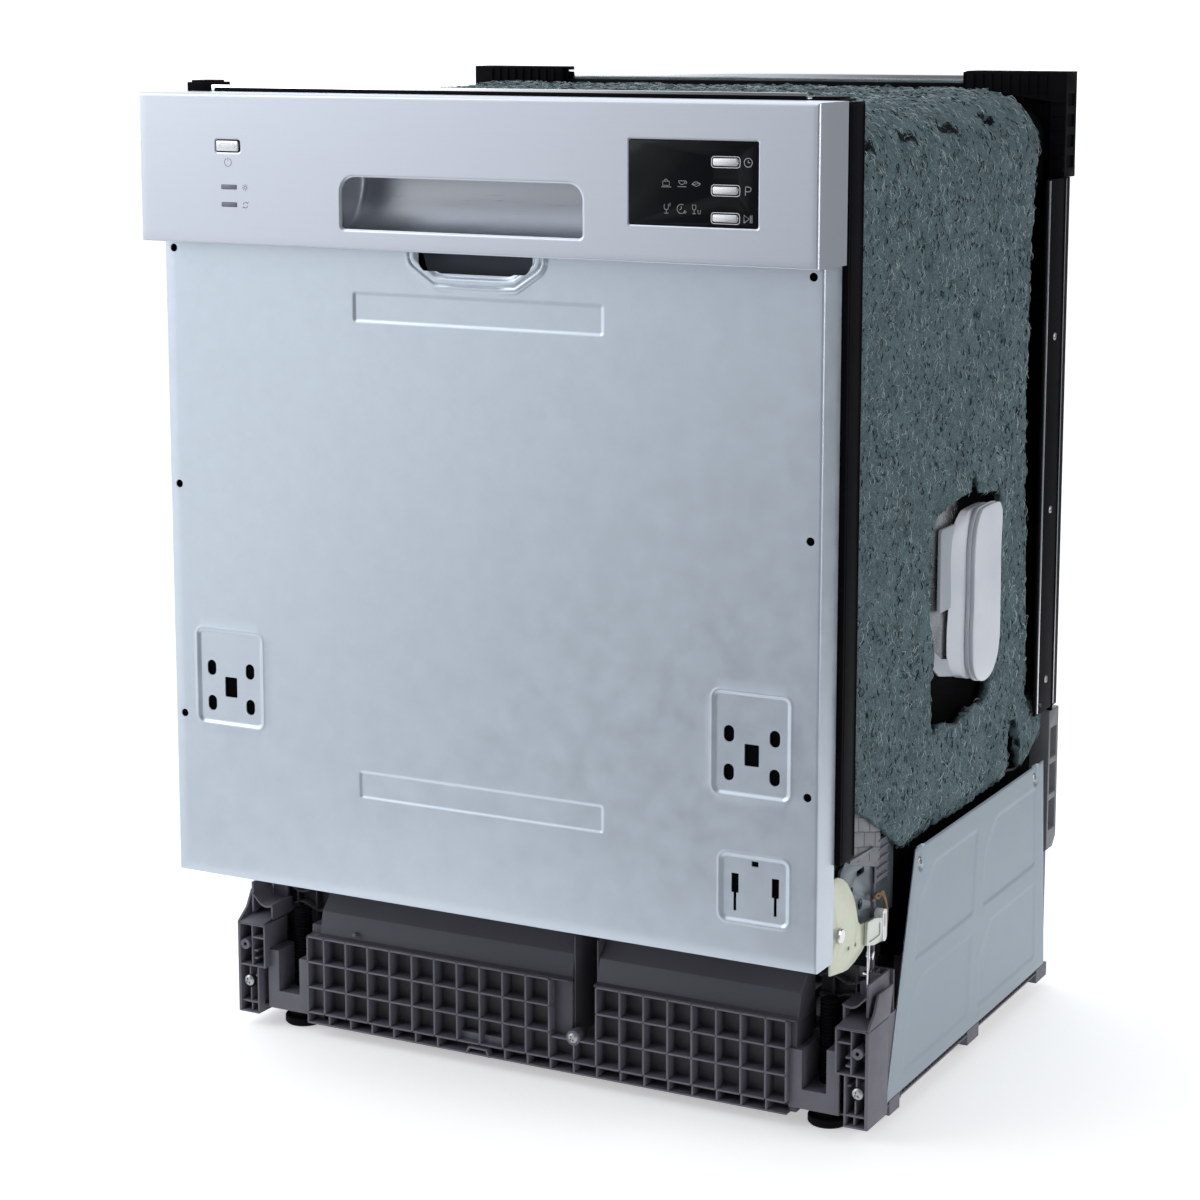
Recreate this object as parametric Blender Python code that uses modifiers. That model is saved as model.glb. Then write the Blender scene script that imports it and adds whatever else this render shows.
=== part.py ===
"""Built-in dishwasher, 598 mm wide, as separate named sub-parts.

Metres, +Z up, front facing -Y, origin under the middle of the machine at floor level.
Lengths in this file are millimetres: X across, Y from the front face of the control panel
towards the rear, Z from the floor. metres() turns them into the shared frame.
"""
import math

import bmesh
import bpy
from mathutils import Matrix, Vector

MM = 0.001
GAP = 0.4                     # clearance left between touching pieces
DEPTH = 570.0                 # front face of the control panel to the rear posts
HALF_WIDTH = 299.0            # half the width of the chassis

PANEL_X, PANEL_Z0, PANEL_Z1, PANEL_Y1 = 297.5, 701.0, 820.0, 52.0
PANEL_SHEET = 1.6
RECESS_X, RECESS_Z0, RECESS_Z1, RECESS_DEPTH = 106.0, 717.0, 757.5, 36.0
WINDOW = (145.0, 250.0, 729.0, 792.0)
KEY_X, KEY_SIZE = 223.9, (20.4, 5.6)
KEY_Z = {"timer_button": 776.6, "program_button": 756.1, "start_button": 736.0}
POWER_KEY = (-211.5, 778.9, 21.0, 8.2)
LENS_X, LENS_Z, LENS_SIZE = -211.0, (746.5, 732.6), (14.6, 3.4)

DOOR_X, DOOR_Y0, DOOR_Y1, DOOR_Z0, DOOR_Z1 = 292.5, 24.0, 55.5, 168.0, 711.0
SHEET = 1.0
LINER_X, LINER_Y0, LINER_Y1, LINER_Z0, LINER_Z1 = 290.8, 42.0, 57.0, 170.5, 816.0
LINER_RAISE = 8.0
PIVOT_Y, PIVOT_Z = 75.0, 183.0

TUB_X, TUB_Y0, TUB_Y1, TUB_Z0, TUB_Z1 = 276.0, 60.0, 545.0, 177.0, 800.0
TUB_SHEET = 1.2
SUMP_X, SUMP_Y, SUMP_R = 25.0, 322.0, 92.0
ARM_X, ARM_Y = 0.0, 300.0
FILTER_X, FILTER_Y, FILTER_R = 50.0, 340.0, 35.0
FELT_X, FELT_TOP, FELT_THICK = 293.0, 815.0, 11.0

BASE_X, BASE_Y0, BASE_Y1, BASE_Z0, BASE_Z1 = 295.5, 126.0, 560.0, 19.0, 127.0
BASE_WALL = 3.0
GRID_Y = 117.0
FOOT_X, FOOT_FRONT_Y, FOOT_REAR_Y = 252.0, 148.0, 530.0

WIRE = 2.0                    # radius of the rack wires
UPPER_RACK = (255.0, 92.0, 500.0, 502.0, 600.0)
LOWER_RACK = (252.0, 108.0, 508.0, 219.0, 330.0)
WHEEL_R, WHEEL_Z, WHEEL_Y = 18.0, 197.0, (195.0, 455.0)

METALS = {
    "stainless": ((0.62, 0.62, 0.63), 1.0, 0.28),
    "polished": ((0.75, 0.75, 0.76), 1.0, 0.12),
    "galvanised": ((0.58, 0.62, 0.66), 1.0, 0.45),
    "zinc_green": ((0.66, 0.70, 0.60), 0.9, 0.35),
    "dark_steel": ((0.10, 0.10, 0.11), 0.8, 0.40),
}
PLASTICS = {
    "black": ((0.010, 0.009, 0.011), 0.0, 0.35),
    "gloss_black": ((0.004, 0.004, 0.005), 0.0, 0.05),
    "grey": ((0.17, 0.16, 0.18), 0.0, 0.55),
    "white": ((0.80, 0.81, 0.82), 0.0, 0.35),
    "silver": ((0.60, 0.60, 0.62), 0.3, 0.30),
    "lens": ((0.22, 0.20, 0.30), 0.0, 0.20),
    "felt": ((0.09, 0.13, 0.13), 0.0, 0.95),
    "rubber": ((0.05, 0.05, 0.055), 0.0, 0.70),
    "coated_wire": ((0.45, 0.48, 0.52), 0.0, 0.35),
    "blue": ((0.10, 0.20, 0.45), 0.0, 0.40),
}


def clear_scene():
    for obj in list(bpy.data.objects):
        bpy.data.objects.remove(obj, do_unlink=True)


def new_collection(name, hidden=False):
    collection = bpy.data.collections.new(name)
    bpy.context.scene.collection.children.link(collection)
    collection.hide_render = hidden
    return collection


clear_scene()
PARTS = new_collection("built_in_dishwasher")
CUTTERS = new_collection("cutters", hidden=True)


def metres(x, y, z):
    return Vector((x * MM, (y - DEPTH / 2) * MM, z * MM))


def give_material(obj, preset):
    colour, metallic, roughness = {**METALS, **PLASTICS}[preset]
    material = bpy.data.materials.new(obj.name + "_" + preset)
    material.use_nodes = True
    shader = material.node_tree.nodes["Principled BSDF"]
    shader.inputs["Base Color"].default_value = (*colour, 1.0)
    shader.inputs["Metallic"].default_value = metallic
    shader.inputs["Roughness"].default_value = roughness
    obj.data.materials.clear()
    obj.data.materials.append(material)


def place(name, mesh, preset, pivot=None, smooth=False):
    """Makes the object for a finished mesh in frame metres, with its origin on the pivot."""
    mesh.name = name
    obj = bpy.data.objects.new(name, mesh)
    if preset is None:
        CUTTERS.objects.link(obj)
        obj.display_type = "WIRE"
        obj.hide_render = True
    else:
        PARTS.objects.link(obj)
        give_material(obj, preset)
    if pivot is not None:
        origin = metres(*pivot)
        mesh.transform(Matrix.Translation(-origin))
        obj.location = origin
    if smooth:
        mesh.shade_smooth()
        mesh.set_sharp_from_angle(angle=math.radians(35))
    return obj


def from_bmesh(name, bm, preset, pivot=None, smooth=False, outward=True):
    if outward:
        bmesh.ops.recalc_face_normals(bm, faces=bm.faces)
    mesh = bpy.data.meshes.new(name)
    bm.to_mesh(mesh)
    bm.free()
    return place(name, mesh, preset, pivot, smooth)


def add_box(bm, x0, x1, y0, y1, z0, z1):
    """Adds a box between two corners and returns its vertices."""
    middle = (metres(x0, y0, z0) + metres(x1, y1, z1)) / 2
    size = Matrix.Diagonal(((x1 - x0) * MM, (y1 - y0) * MM, (z1 - z0) * MM, 1.0))
    return bmesh.ops.create_cube(bm, size=1.0, matrix=Matrix.Translation(middle) @ size)["verts"]


def boxes(name, corners, preset, pivot=None, bevel=0.0, segments=1):
    """One object holding a box, or several boxes that stand clear of each other."""
    bm = bmesh.new()
    for corner in corners:
        add_box(bm, *corner)
    if bevel:
        bmesh.ops.bevel(bm, geom=bm.edges[:], offset=bevel * MM, segments=segments, profile=0.5,
                        affect="EDGES")
    return from_bmesh(name, bm, preset, pivot)


TURNS = {
    "X": Matrix(((0, 0, 1, 0), (1, 0, 0, 0), (0, 1, 0, 0), (0, 0, 0, 1))),
    "Y": Matrix(((1, 0, 0, 0), (0, 0, -1, 0), (0, 1, 0, 0), (0, 0, 0, 1))),
    "Z": Matrix.Identity(4),
}


def add_drum(bm, centre, radius, lo, hi, axis="Z", sides=16):
    """Adds a cylinder about the centre, running from lo to hi along its axis."""
    turn = TURNS[axis]
    along = {"X": 0, "Y": 1, "Z": 2}[axis]
    middle = list(centre)
    middle[along] = (lo + hi) / 2
    matrix = Matrix.Translation(metres(*middle)) @ turn @ Matrix.Rotation(math.pi / sides, 4, "Z")
    bmesh.ops.create_cone(bm, cap_ends=True, segments=sides, radius1=radius * MM,
                          radius2=radius * MM, depth=(hi - lo) * MM, matrix=matrix)


def drums(name, items, preset, pivot=None, smooth=True):
    bm = bmesh.new()
    for item in items:
        add_drum(bm, **item)
    return from_bmesh(name, bm, preset, pivot, smooth)


def curve_mesh(curve):
    """Turns a curve into a closed mesh with its caps welded."""
    holder = bpy.data.objects.new("curve_holder", curve)
    bpy.context.scene.collection.objects.link(holder)
    bpy.context.view_layer.update()
    shaped = holder.evaluated_get(bpy.context.evaluated_depsgraph_get())
    mesh = bpy.data.meshes.new_from_object(shaped)
    bpy.data.objects.remove(holder, do_unlink=True)
    bm = bmesh.new()
    bm.from_mesh(mesh)
    bmesh.ops.remove_doubles(bm, verts=bm.verts, dist=0.00002)
    bmesh.ops.recalc_face_normals(bm, faces=bm.faces)
    bm.to_mesh(mesh)
    bm.free()
    return mesh


def outline(name, loops, axis, lo, hi, preset, pivot=None):
    """A flat plate cut to its outline. Across X the outline is (Y, Z), across Y it is (X, Z)."""
    curve = bpy.data.curves.new(name, "CURVE")
    curve.dimensions = "2D"
    curve.fill_mode = "BOTH"
    curve.extrude = abs(hi - lo) / 2 * MM
    for loop in loops:
        spline = curve.splines.new("POLY")
        spline.points.add(len(loop) - 1)
        for point, (u, v) in zip(spline.points, loop):
            point.co = (u * MM, v * MM, 0.0, 1.0)
        spline.use_cyclic_u = True
    mesh = curve_mesh(curve)
    shift = {"X": ((lo + hi) / 2, 0, 0), "Y": (0, (lo + hi) / 2, 0), "Z": (0, 0, (lo + hi) / 2)}
    mesh.transform(Matrix.Translation(metres(*shift[axis])) @ TURNS[axis])
    return place(name, mesh, preset, pivot)


def tube(name, runs, radius, preset, pivot=None, resolution=1, cyclic=False):
    """Round bar or wire along each run of points."""
    curve = bpy.data.curves.new(name, "CURVE")
    curve.dimensions = "3D"
    curve.bevel_depth = radius * MM
    curve.bevel_resolution = resolution
    curve.use_fill_caps = True
    for run in runs:
        spline = curve.splines.new("POLY")
        spline.points.add(len(run) - 1)
        for point, position in zip(spline.points, run):
            point.co = (*metres(*position), 1.0)
        spline.use_cyclic_u = cyclic
    return place(name, curve_mesh(curve), preset, pivot, smooth=True)


def turned(name, profile, centre, preset, axis="Z", pivot=None, sides=16):
    """A turned piece. The profile is (radius, height) from its top on the axis, down the outside."""
    bm = bmesh.new()
    verts = [bm.verts.new((r * MM, 0.0, h * MM)) for r, h in profile]
    for a, b in zip(verts, verts[1:]):
        bm.edges.new((a, b))
    mesh = bpy.data.meshes.new(name)
    bm.to_mesh(mesh)
    bm.free()
    obj = place(name, mesh, preset, None)
    obj.location = metres(*centre)
    if axis == "X":
        obj.rotation_euler = (0.0, math.pi / 2, 0.0)
    if axis == "Y":
        obj.rotation_euler = (-math.pi / 2, 0.0, 0.0)
    screw = obj.modifiers.new("turn", "SCREW")
    screw.steps = sides
    screw.render_steps = sides
    screw.use_merge_vertices = True
    screw.merge_threshold = 0.00001
    return obj


def solidify(obj, thickness, inward=True):
    shell = obj.modifiers.new("thickness", "SOLIDIFY")
    shell.thickness = thickness * MM
    shell.offset = -1.0 if inward else 1.0
    shell.use_even_offset = True


def boolean(obj, tool, operation="DIFFERENCE"):
    step = obj.modifiers.new(operation.lower(), "BOOLEAN")
    step.operation = operation
    step.solver = "EXACT"
    step.object = tool


def mesh_grid(bm, us, vs, y):
    """Adds a sheet of quads facing the front, on lines across X and up Z."""
    columns, rows = len(us) - 1, len(vs) - 1
    made = bmesh.ops.create_grid(bm, x_segments=columns, y_segments=rows, size=1.0)
    for vert in made["verts"]:
        u = us[round((vert.co.x + 1) / 2 * columns)]
        v = vs[round((vert.co.y + 1) / 2 * rows)]
        vert.co = metres(u, y, v)
    for face in bm.faces:
        face.normal_update()
        if face.normal.y > 0:
            face.normal_flip()


def push_edges(bm, edges, y):
    """Folds the given edges back to a depth and returns the new edges."""
    made = bmesh.ops.extrude_edge_only(bm, edges=edges)["geom"]
    for vert in [item for item in made if isinstance(item, bmesh.types.BMVert)]:
        vert.co.y = metres(0, y, 0).y
    return [item for item in made if isinstance(item, bmesh.types.BMEdge)]


def faces_between(bm, x0, x1, z0, z1):
    found = []
    for face in bm.faces:
        middle = face.calc_center_median() / MM
        if x0 < middle.x < x1 and z0 < middle.z < z1 and abs(face.normal.y) > 0.9:
            found.append(face)
    return found


def emboss(bm, areas, width, height):
    for area in areas:
        faces = faces_between(bm, *area)
        bmesh.ops.inset_region(bm, faces=faces, thickness=width * MM, depth=height * MM,
                               use_even_offset=True, use_boundary=True)


def waffle(bm, x_lines, z_lines, y_front, y_back, rib, depth):
    """A moulded block with a grid of square pockets in its front."""
    block = bmesh.new()
    mesh_grid(block, x_lines, z_lines, y_front)
    cells = block.faces[:]
    border = [edge for edge in block.edges if edge.is_boundary]
    rim = push_edges(block, border, y_back)
    bmesh.ops.contextual_create(block, geom=rim)
    bmesh.ops.inset_individual(block, faces=cells, thickness=rib / 2 * MM, depth=0.0)
    bmesh.ops.inset_individual(block, faces=cells, thickness=0.3 * MM, depth=-depth * MM)
    bmesh.ops.recalc_face_normals(block, faces=block.faces)
    mesh = bpy.data.meshes.new("waffle")
    block.to_mesh(mesh)
    block.free()
    bm.from_mesh(mesh)
    bpy.data.meshes.remove(mesh)


def lines(start, stop, count):
    return [start + (stop - start) * i / count for i in range(count + 1)]


def rounded(x0, x1, z0, z1, radii, steps=3):
    """Corner points of a rounded rectangle; radii run from the lower left anticlockwise."""
    centres = [(x0, z0, 180), (x1, z0, 270), (x1, z1, 0), (x0, z1, 90)]
    points = []
    for (x, z, start), r in zip(centres, radii):
        if r == 0:
            points.append((x, z))
            continue
        cx = x + r if x == x0 else x - r
        cz = z + r if z == z0 else z - r
        for i in range(steps + 1):
            a = math.radians(start + 90 * i / steps)
            points.append((cx + r * math.cos(a), cz + r * math.sin(a)))
    return points


# ---------------------------------------------------------------- door front

def build_control_panel():
    bm = bmesh.new()
    add_box(bm, -PANEL_X, PANEL_X, 0, PANEL_Y1, PANEL_Z0, PANEL_Z1)
    back = [face for face in bm.faces if face.normal.y > 0.9]
    bmesh.ops.delete(bm, geom=back, context="FACES_ONLY")
    upright = [e for e in bm.edges if all(v.co.y < metres(0, 1, 0).y for v in e.verts)
               and abs(e.verts[0].co.z - e.verts[1].co.z) > 0.05]
    bmesh.ops.bevel(bm, geom=upright, offset=2.0 * MM, segments=2, profile=0.5, affect="EDGES")
    panel = from_bmesh("control_panel", bm, "stainless", outward=False)
    solidify(panel, PANEL_SHEET)
    x0, x1, z0, z1 = WINDOW
    px, pz, pw, ph = POWER_KEY
    holes = bmesh.new()
    add_box(holes, x0 - GAP, x1 + GAP, -3, 4, z0 - GAP, z1 + GAP)
    add_box(holes, px - pw / 2 - 1, px + pw / 2 + 1, -3, 4, pz - ph / 2 - 1, pz + ph / 2 + 1)
    for z in LENS_Z:
        add_box(holes, LENS_X - LENS_SIZE[0] / 2 - GAP, LENS_X + LENS_SIZE[0] / 2 + GAP, -3, 4,
                z - LENS_SIZE[1] / 2 - GAP, z + LENS_SIZE[1] / 2 + GAP)
    add_box(holes, -DOOR_X - 1.5, DOOR_X + 1.5, DOOR_Y0 - 1.0, 60, PANEL_Z0 - 3, PANEL_Z0 + 4)
    boolean(panel, from_bmesh("panel_openings", holes, None))
    mouth = rounded(-RECESS_X, RECESS_X, RECESS_Z0, RECESS_Z1, (3, 3, 12, 12))
    boolean(panel, outline("recess_opening", [mouth], "Y", -4, 5, None))


def build_handle_cup():
    bm = bmesh.new()
    lip = PANEL_SHEET + GAP
    add_box(bm, -RECESS_X, RECESS_X, lip, RECESS_DEPTH, RECESS_Z0 - 0.5, RECESS_Z1 + 0.5)
    front = [face for face in bm.faces if face.normal.y < -0.9]
    bmesh.ops.delete(bm, geom=front, context="FACES_ONLY")
    deep = [e for e in bm.edges if all(v.co.y > metres(0, 20, 0).y for v in e.verts)
            and abs(e.verts[0].co.x - e.verts[1].co.x) > 0.1]
    bmesh.ops.bevel(bm, geom=deep, offset=15 * MM, segments=4, profile=0.5, affect="EDGES")
    rim = [edge for edge in bm.edges if edge.is_boundary]
    made = bmesh.ops.extrude_edge_only(bm, edges=rim)["geom"]
    for vert in [item for item in made if isinstance(item, bmesh.types.BMVert)]:
        vert.co.x += math.copysign(6 * MM, vert.co.x)
        vert.co.z += math.copysign(5 * MM, vert.co.z - (RECESS_Z0 + RECESS_Z1) / 2 * MM)
    cup = from_bmesh("handle_cup", bm, "silver", outward=False)
    solidify(cup, 1.4, inward=False)


def build_control_window():
    x0, x1, z0, z1 = WINDOW
    corners = rounded(x0, x1, z0, z1, (1.5, 1.5, 1.5, 1.5), steps=1)
    w, h = KEY_SIZE
    holes = []
    for z in KEY_Z.values():
        holes.append(rounded(KEY_X - w / 2 - 0.9, KEY_X + w / 2 + 0.9, z - h / 2 - 0.9,
                             z + h / 2 + 0.9, (1.8, 1.8, 1.8, 1.8), steps=1))
    outline("control_window", [corners] + holes, "Y", 0.2, 3.2, "gloss_black")


def build_keys():
    w, h = KEY_SIZE
    for name, z in KEY_Z.items():
        key(name, KEY_X, z, w, h, -0.9, "silver")
    px, pz, pw, ph = POWER_KEY
    key("power_button", px, pz, pw, ph, -1.4, "silver")


def key(name, x, z, w, h, face_y, preset):
    """A push key with rounded corners."""
    bm = bmesh.new()
    add_box(bm, x - w / 2, x + w / 2, face_y, 4.0, z - h / 2, z + h / 2)
    edges = [e for e in bm.edges if abs(e.verts[0].co.y - e.verts[1].co.y) > 0.001]
    bmesh.ops.bevel(bm, geom=edges, offset=1.6 * MM, segments=2, profile=0.5, affect="EDGES")
    from_bmesh(name, bm, preset, pivot=(x, face_y, z))


def build_lenses():
    w, h = LENS_SIZE
    high, low = LENS_Z
    guide = boxes("indicator_lenses", [(LENS_X - 10, LENS_X + 10, 2.2, 4.2, low - 5, high + 5)], "lens")
    bars = [(LENS_X - w / 2, LENS_X + w / 2, -0.2, 3.0, z - h / 2, z + h / 2) for z in LENS_Z]
    boolean(guide, boxes("lens_bars", bars, None), "UNION")


def build_outer_panel():
    xs = [-DOOR_X, -269, -205, -112, 112, 205, 211.7, 269, DOOR_X]
    zs = [DOOR_Z0, 200.3, 253.0, 276.5, 299, 379, 641.5, 666, DOOR_Z1]
    bm = bmesh.new()
    mesh_grid(bm, xs, zs, DOOR_Y0)
    top = metres(0, 0, DOOR_Z1).z - 0.001
    border = [edge for edge in bm.edges if edge.is_boundary
              and not all(vert.co.z > top for vert in edge.verts)]
    push_edges(bm, border, DOOR_Y1)
    bars = [(-112, 112, 253, 276.5), (-112, 112, 641.5, 666)]
    squares = [(-269, -205, 299, 379), (205, 269, 299, 379), (211.7, 269, 200.3, 253)]
    bmesh.ops.recalc_face_normals(bm, faces=bm.faces)
    front = next(f for f in bm.faces if abs(f.normal.y) > 0.9)
    if front.normal.y > 0:
        bmesh.ops.reverse_faces(bm, faces=bm.faces)
    emboss(bm, bars, 2.0, -0.9)
    emboss(bm, squares, 2.0, -1.2)
    panel = from_bmesh("outer_door_panel", bm, "galvanised", outward=False)
    solidify(panel, SHEET)
    boolean(panel, panel_ridge(), "UNION")
    boolean(panel, panel_holes())
    boolean(panel, grip_opening())


def grip_outline(half_top, half_bottom, z_bottom, z_top):
    """Half-hexagon outline with softened lower corners."""
    lean = (half_top - half_bottom) * 0.35
    return [(-half_top, z_top), (-half_bottom - lean, z_bottom + 7), (-half_bottom, z_bottom + 1.5),
            (-half_bottom + 5, z_bottom), (half_bottom - 5, z_bottom), (half_bottom, z_bottom + 1.5),
            (half_bottom + lean, z_bottom + 7), (half_top, z_top)]


def panel_ridge():
    return outline("grip_ridge", [grip_outline(64, 38, 669.5, 699.5)], "Y", DOOR_Y0 - 1.4,
                   DOOR_Y0 + 0.5, None)


def grip_opening():
    return outline("grip_opening", [grip_outline(52, 31, 681, 700)], "Y", DOOR_Y0 - 6,
                   DOOR_Y0 + 6, None)


def panel_holes():
    bm = bmesh.new()
    y0, y1 = DOOR_Y0 - 4, DOOR_Y0 + 5
    for side in (-1, 1):
        for z in (694, 499, 304.5):
            add_drum(bm, (side * 283.5, 0, z), 3.2, y0, y1, "Y", 8)
        for x in (218, 256):
            for z in (346, 316):
                add_drum(bm, (side * x, 0, z), 5.2, y0, y1, "Y", 8)
        add_box(bm, side * 237 - 6, side * 237 + 6, y0, y1, 322.5, 339.5)
    add_box(bm, 237.8, 243.4, y0, y1, 244.6, 248.8)
    for x in (224.0, 257.6):
        add_box(bm, x - 3, x + 3, y0, y1, 222.3, 237.5)
    holes = from_bmesh("panel_holes", bm, None)
    bm = bmesh.new()
    for x in (224.0, 257.6):
        add_box(bm, x - 1.2, x + 1.2, y0 - 1, y1 + 1, 208, 225)
    boolean(holes, from_bmesh("slot_tails", bm, None), "UNION")
    return holes


def build_liner():
    bm = bmesh.new()
    xs = [-LINER_X, -262, 262, LINER_X]
    zs = [LINER_Z0, 212, 782, LINER_Z1]
    mesh_grid(bm, xs, zs, LINER_Y1)
    border = [edge for edge in bm.edges if edge.is_boundary]
    push_edges(bm, border, LINER_Y0)
    bmesh.ops.recalc_face_normals(bm, faces=bm.faces)
    face = next(f for f in bm.faces if abs(f.normal.y) > 0.9)
    if face.normal.y < 0:
        bmesh.ops.reverse_faces(bm, faces=bm.faces)
    emboss(bm, [(-262, 262, 212, 782)], LINER_RAISE * 0.8, LINER_RAISE)
    liner = from_bmesh("door_liner", bm, "stainless", outward=False)
    solidify(liner, SHEET)
    cut = bmesh.new()
    add_box(cut, -96.4, 66.4, 50, 72, 469.6, 600.4)
    boolean(liner, from_bmesh("dispenser_opening", cut, None))


def build_dispenser():
    bm = bmesh.new()
    add_box(bm, -96, 66, 44, 70, 470, 600)
    body = from_bmesh("detergent_dispenser", bm, "grey")
    bm = bmesh.new()
    add_box(bm, -84, -8, 50, 75, 486, 584)
    add_drum(bm, (32, 0, 520), 17.0, 56, 75, "Y", 16)
    boolean(body, from_bmesh("dispenser_cups", bm, None))
    boxes("dispenser_lid", [(-88, -4, 70.4, 73.4, 482, 588)], "grey", pivot=(-46, 72, 535), bevel=1.0)
    turned("rinse_aid_cap", [(0, 5), (15, 5), (16.4, 3.5), (16.4, -8), (0, -8)], (32, 69.5, 520),
           "blue", axis="Y", sides=16)


def build_door_inside():
    latch = boxes("door_latch", [(-22, 22, 57.6, 63, 800.6, 805.4)], "black", bevel=0.8)
    boolean(latch, boxes("latch_tongue", [(-6, 6, 62, 76, 801.4, 804.6)], None), "UNION")


def hinge_outline(side_y, side_z):
    return [(y + side_y, z + side_z) for y, z in
            ((57.6, 240), (64, 240), (80, 226), (95, 206), (103, 186), (102, 172), (92, 163),
             (76, 160), (57.6, 162))]


def build_hinges():
    for side, word in ((-1, "left"), (1, "right")):
        lo, hi = sorted((side * 285.4, side * 288.0))
        bore = [(PIVOT_Y + 4.6 * math.cos(a), PIVOT_Z + 4.6 * math.sin(a))
                for a in (math.tau * i / 12 for i in range(12))]
        outline("hinge_arm_" + word, [hinge_outline(0, 0), bore], "X", lo, hi, "zinc_green",
                pivot=(side * 286.7, PIVOT_Y, PIVOT_Z))
        lo, hi = sorted((side * 279.0, side * 281.5))
        nose = [(PIVOT_Y + 12 * math.cos(a), PIVOT_Z + 12 * math.sin(a))
                for a in (math.radians(60 + 240 * i / 6) for i in range(7))]
        plate = nose + [(96, 172), (96, 137), (150, 130), (205, 137), (205, 232), (110, 236),
                        (96, 226), (96, 194)]
        bracket = outline("hinge_bracket_" + word, [plate], "X", lo, hi, "dark_steel")
        bm = bmesh.new()
        lo, hi = sorted((side * 281.0, side * 290.5))
        add_drum(bm, (0, PIVOT_Y, PIVOT_Z), 4.0, lo, hi, "X", 12)
        boolean(bracket, from_bmesh("hinge_pin_" + word, bm, None), "UNION")


# ---------------------------------------------------------------- tub and its surroundings

def build_tub():
    bm = bmesh.new()
    add_box(bm, -TUB_X, TUB_X, TUB_Y0, TUB_Y1, TUB_Z0, TUB_Z1)
    front = [face for face in bm.faces if face.normal.y < -0.9]
    bmesh.ops.delete(bm, geom=front, context="FACES_ONLY")
    long_edges = [e for e in bm.edges if abs(e.verts[0].co.y - e.verts[1].co.y) > 0.3]
    bmesh.ops.bevel(bm, geom=long_edges, offset=26 * MM, segments=3, profile=0.5, affect="EDGES")
    tub = from_bmesh("tub", bm, "stainless", outward=False)
    solidify(tub, TUB_SHEET)
    bm = bmesh.new()
    add_drum(bm, (SUMP_X, SUMP_Y, 0), SUMP_R, TUB_Z0 - 5, TUB_Z0 + 8, "Z", 24)
    add_drum(bm, (0, 340, 420), 21.0, TUB_X - 6, TUB_X + 6, "X", 16)
    boolean(tub, from_bmesh("tub_openings", bm, None))
    boxes("tub_front_rail", [(-268, 268, 58.4, 84, 806, 819)], "polished", bevel=2.0, segments=2)
    x, z0, z1 = 270.2, 205.0, 794.2
    run = [(-x, 66.5, z0), (-x, 66.5, z1 - 24), (-x + 24, 66.5, z1), (x - 24, 66.5, z1),
           (x, 66.5, z1 - 24), (x, 66.5, z0)]
    tube("door_seal", [run], 4.0, "rubber", resolution=1)


def arch(half, top, z_low, radius, steps=5):
    """Up one side, over the top and down the other, with rounded shoulders."""
    points = [(-half, z_low)]
    for side, start in ((-1, 180), (1, 90)):
        for i in range(steps + 1):
            a = math.radians(start - 90 * i / steps)
            points.append((side * (half - radius) + radius * math.cos(a),
                           top - radius + radius * math.sin(a)))
    points.append((half, z_low))
    return points


def build_felt():
    outer = arch(FELT_X, FELT_TOP, 215, 42)
    inner = arch(FELT_X - FELT_THICK, FELT_TOP - FELT_THICK, 215, 31)
    felt = outline("insulation_felt", [outer + inner[::-1]], "Y", 87.0, 540.0, "felt")
    low = [(80, 190), (80, 283), (92, 283), (207, 219), (500, 219), (548, 243), (548, 190)]
    back = [(488, 744), (484, 640), (480, 543), (484, 460), (490, 400), (497, 310), (503, 272),
            (560, 268), (560, 770), (500, 770)]
    boolean(felt, outline("felt_low_trim", [low], "X", -320, 320, None))
    boolean(felt, outline("felt_back_trim", [back], "X", -320, 320, None))
    patch = [(255, 470), (268, 484), (330, 488), (412, 480), (416, 400), (410, 318), (384, 302),
             (280, 306), (262, 330), (250, 400)]
    boolean(felt, outline("felt_patch", [patch], "X", 270, 310, None))


def build_side_strips():
    for side, word in ((-1, "left"), (1, "right")):
        x0, x1, x2 = side * 284.5, side * 294.9, side * 296.5
        shape = [(x0, 57.8), (x2, 57.8), (x2, 86.0), (x1, 86.0), (x1, 59.6), (x0, 59.6)]
        outline("side_strip_" + word, [shape], "Z", 244.0, 819.0, "black")
        x0, x1, x2 = side * 284.5, side * 294.5, side * 297.0
        shape = [(x0, 558.5), (x0, 561.0), (x2, 561.0), (x2, 502.0), (x1, 502.0), (x1, 558.5)]
        outline("rear_post_" + word, [shape], "Z", 277.0, 735.0, "black")
        cap = [(side * 205, 832), (side * 298, 832), (side * 298, 740), (side * 284, 740),
               (side * 284, 806), (side * 205, 817)]
        outline("rear_cap_" + word, [cap], "Y", 541.0, 570.0, "black")
        foot = [(543, 258), (543, 127.4), (560.4, 127.4), (569, 136), (569, 258)]
        upright = outline("rear_upright_" + word, [foot], "X", *sorted((side * 276, side * 297)),
                          "grey")
        bm = bmesh.new()
        for i in range(3):
            z = 145 + 34 * i
            add_box(bm, *sorted((side * 290, side * 299)), 547, 565, z, z + 28)
        boolean(upright, from_bmesh("upright_pockets_" + word, bm, None))
    boxes("rear_top_bar", [(-204.4, 204.4, 553, 569, 818, 829)], "polished", bevel=1.5)


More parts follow.
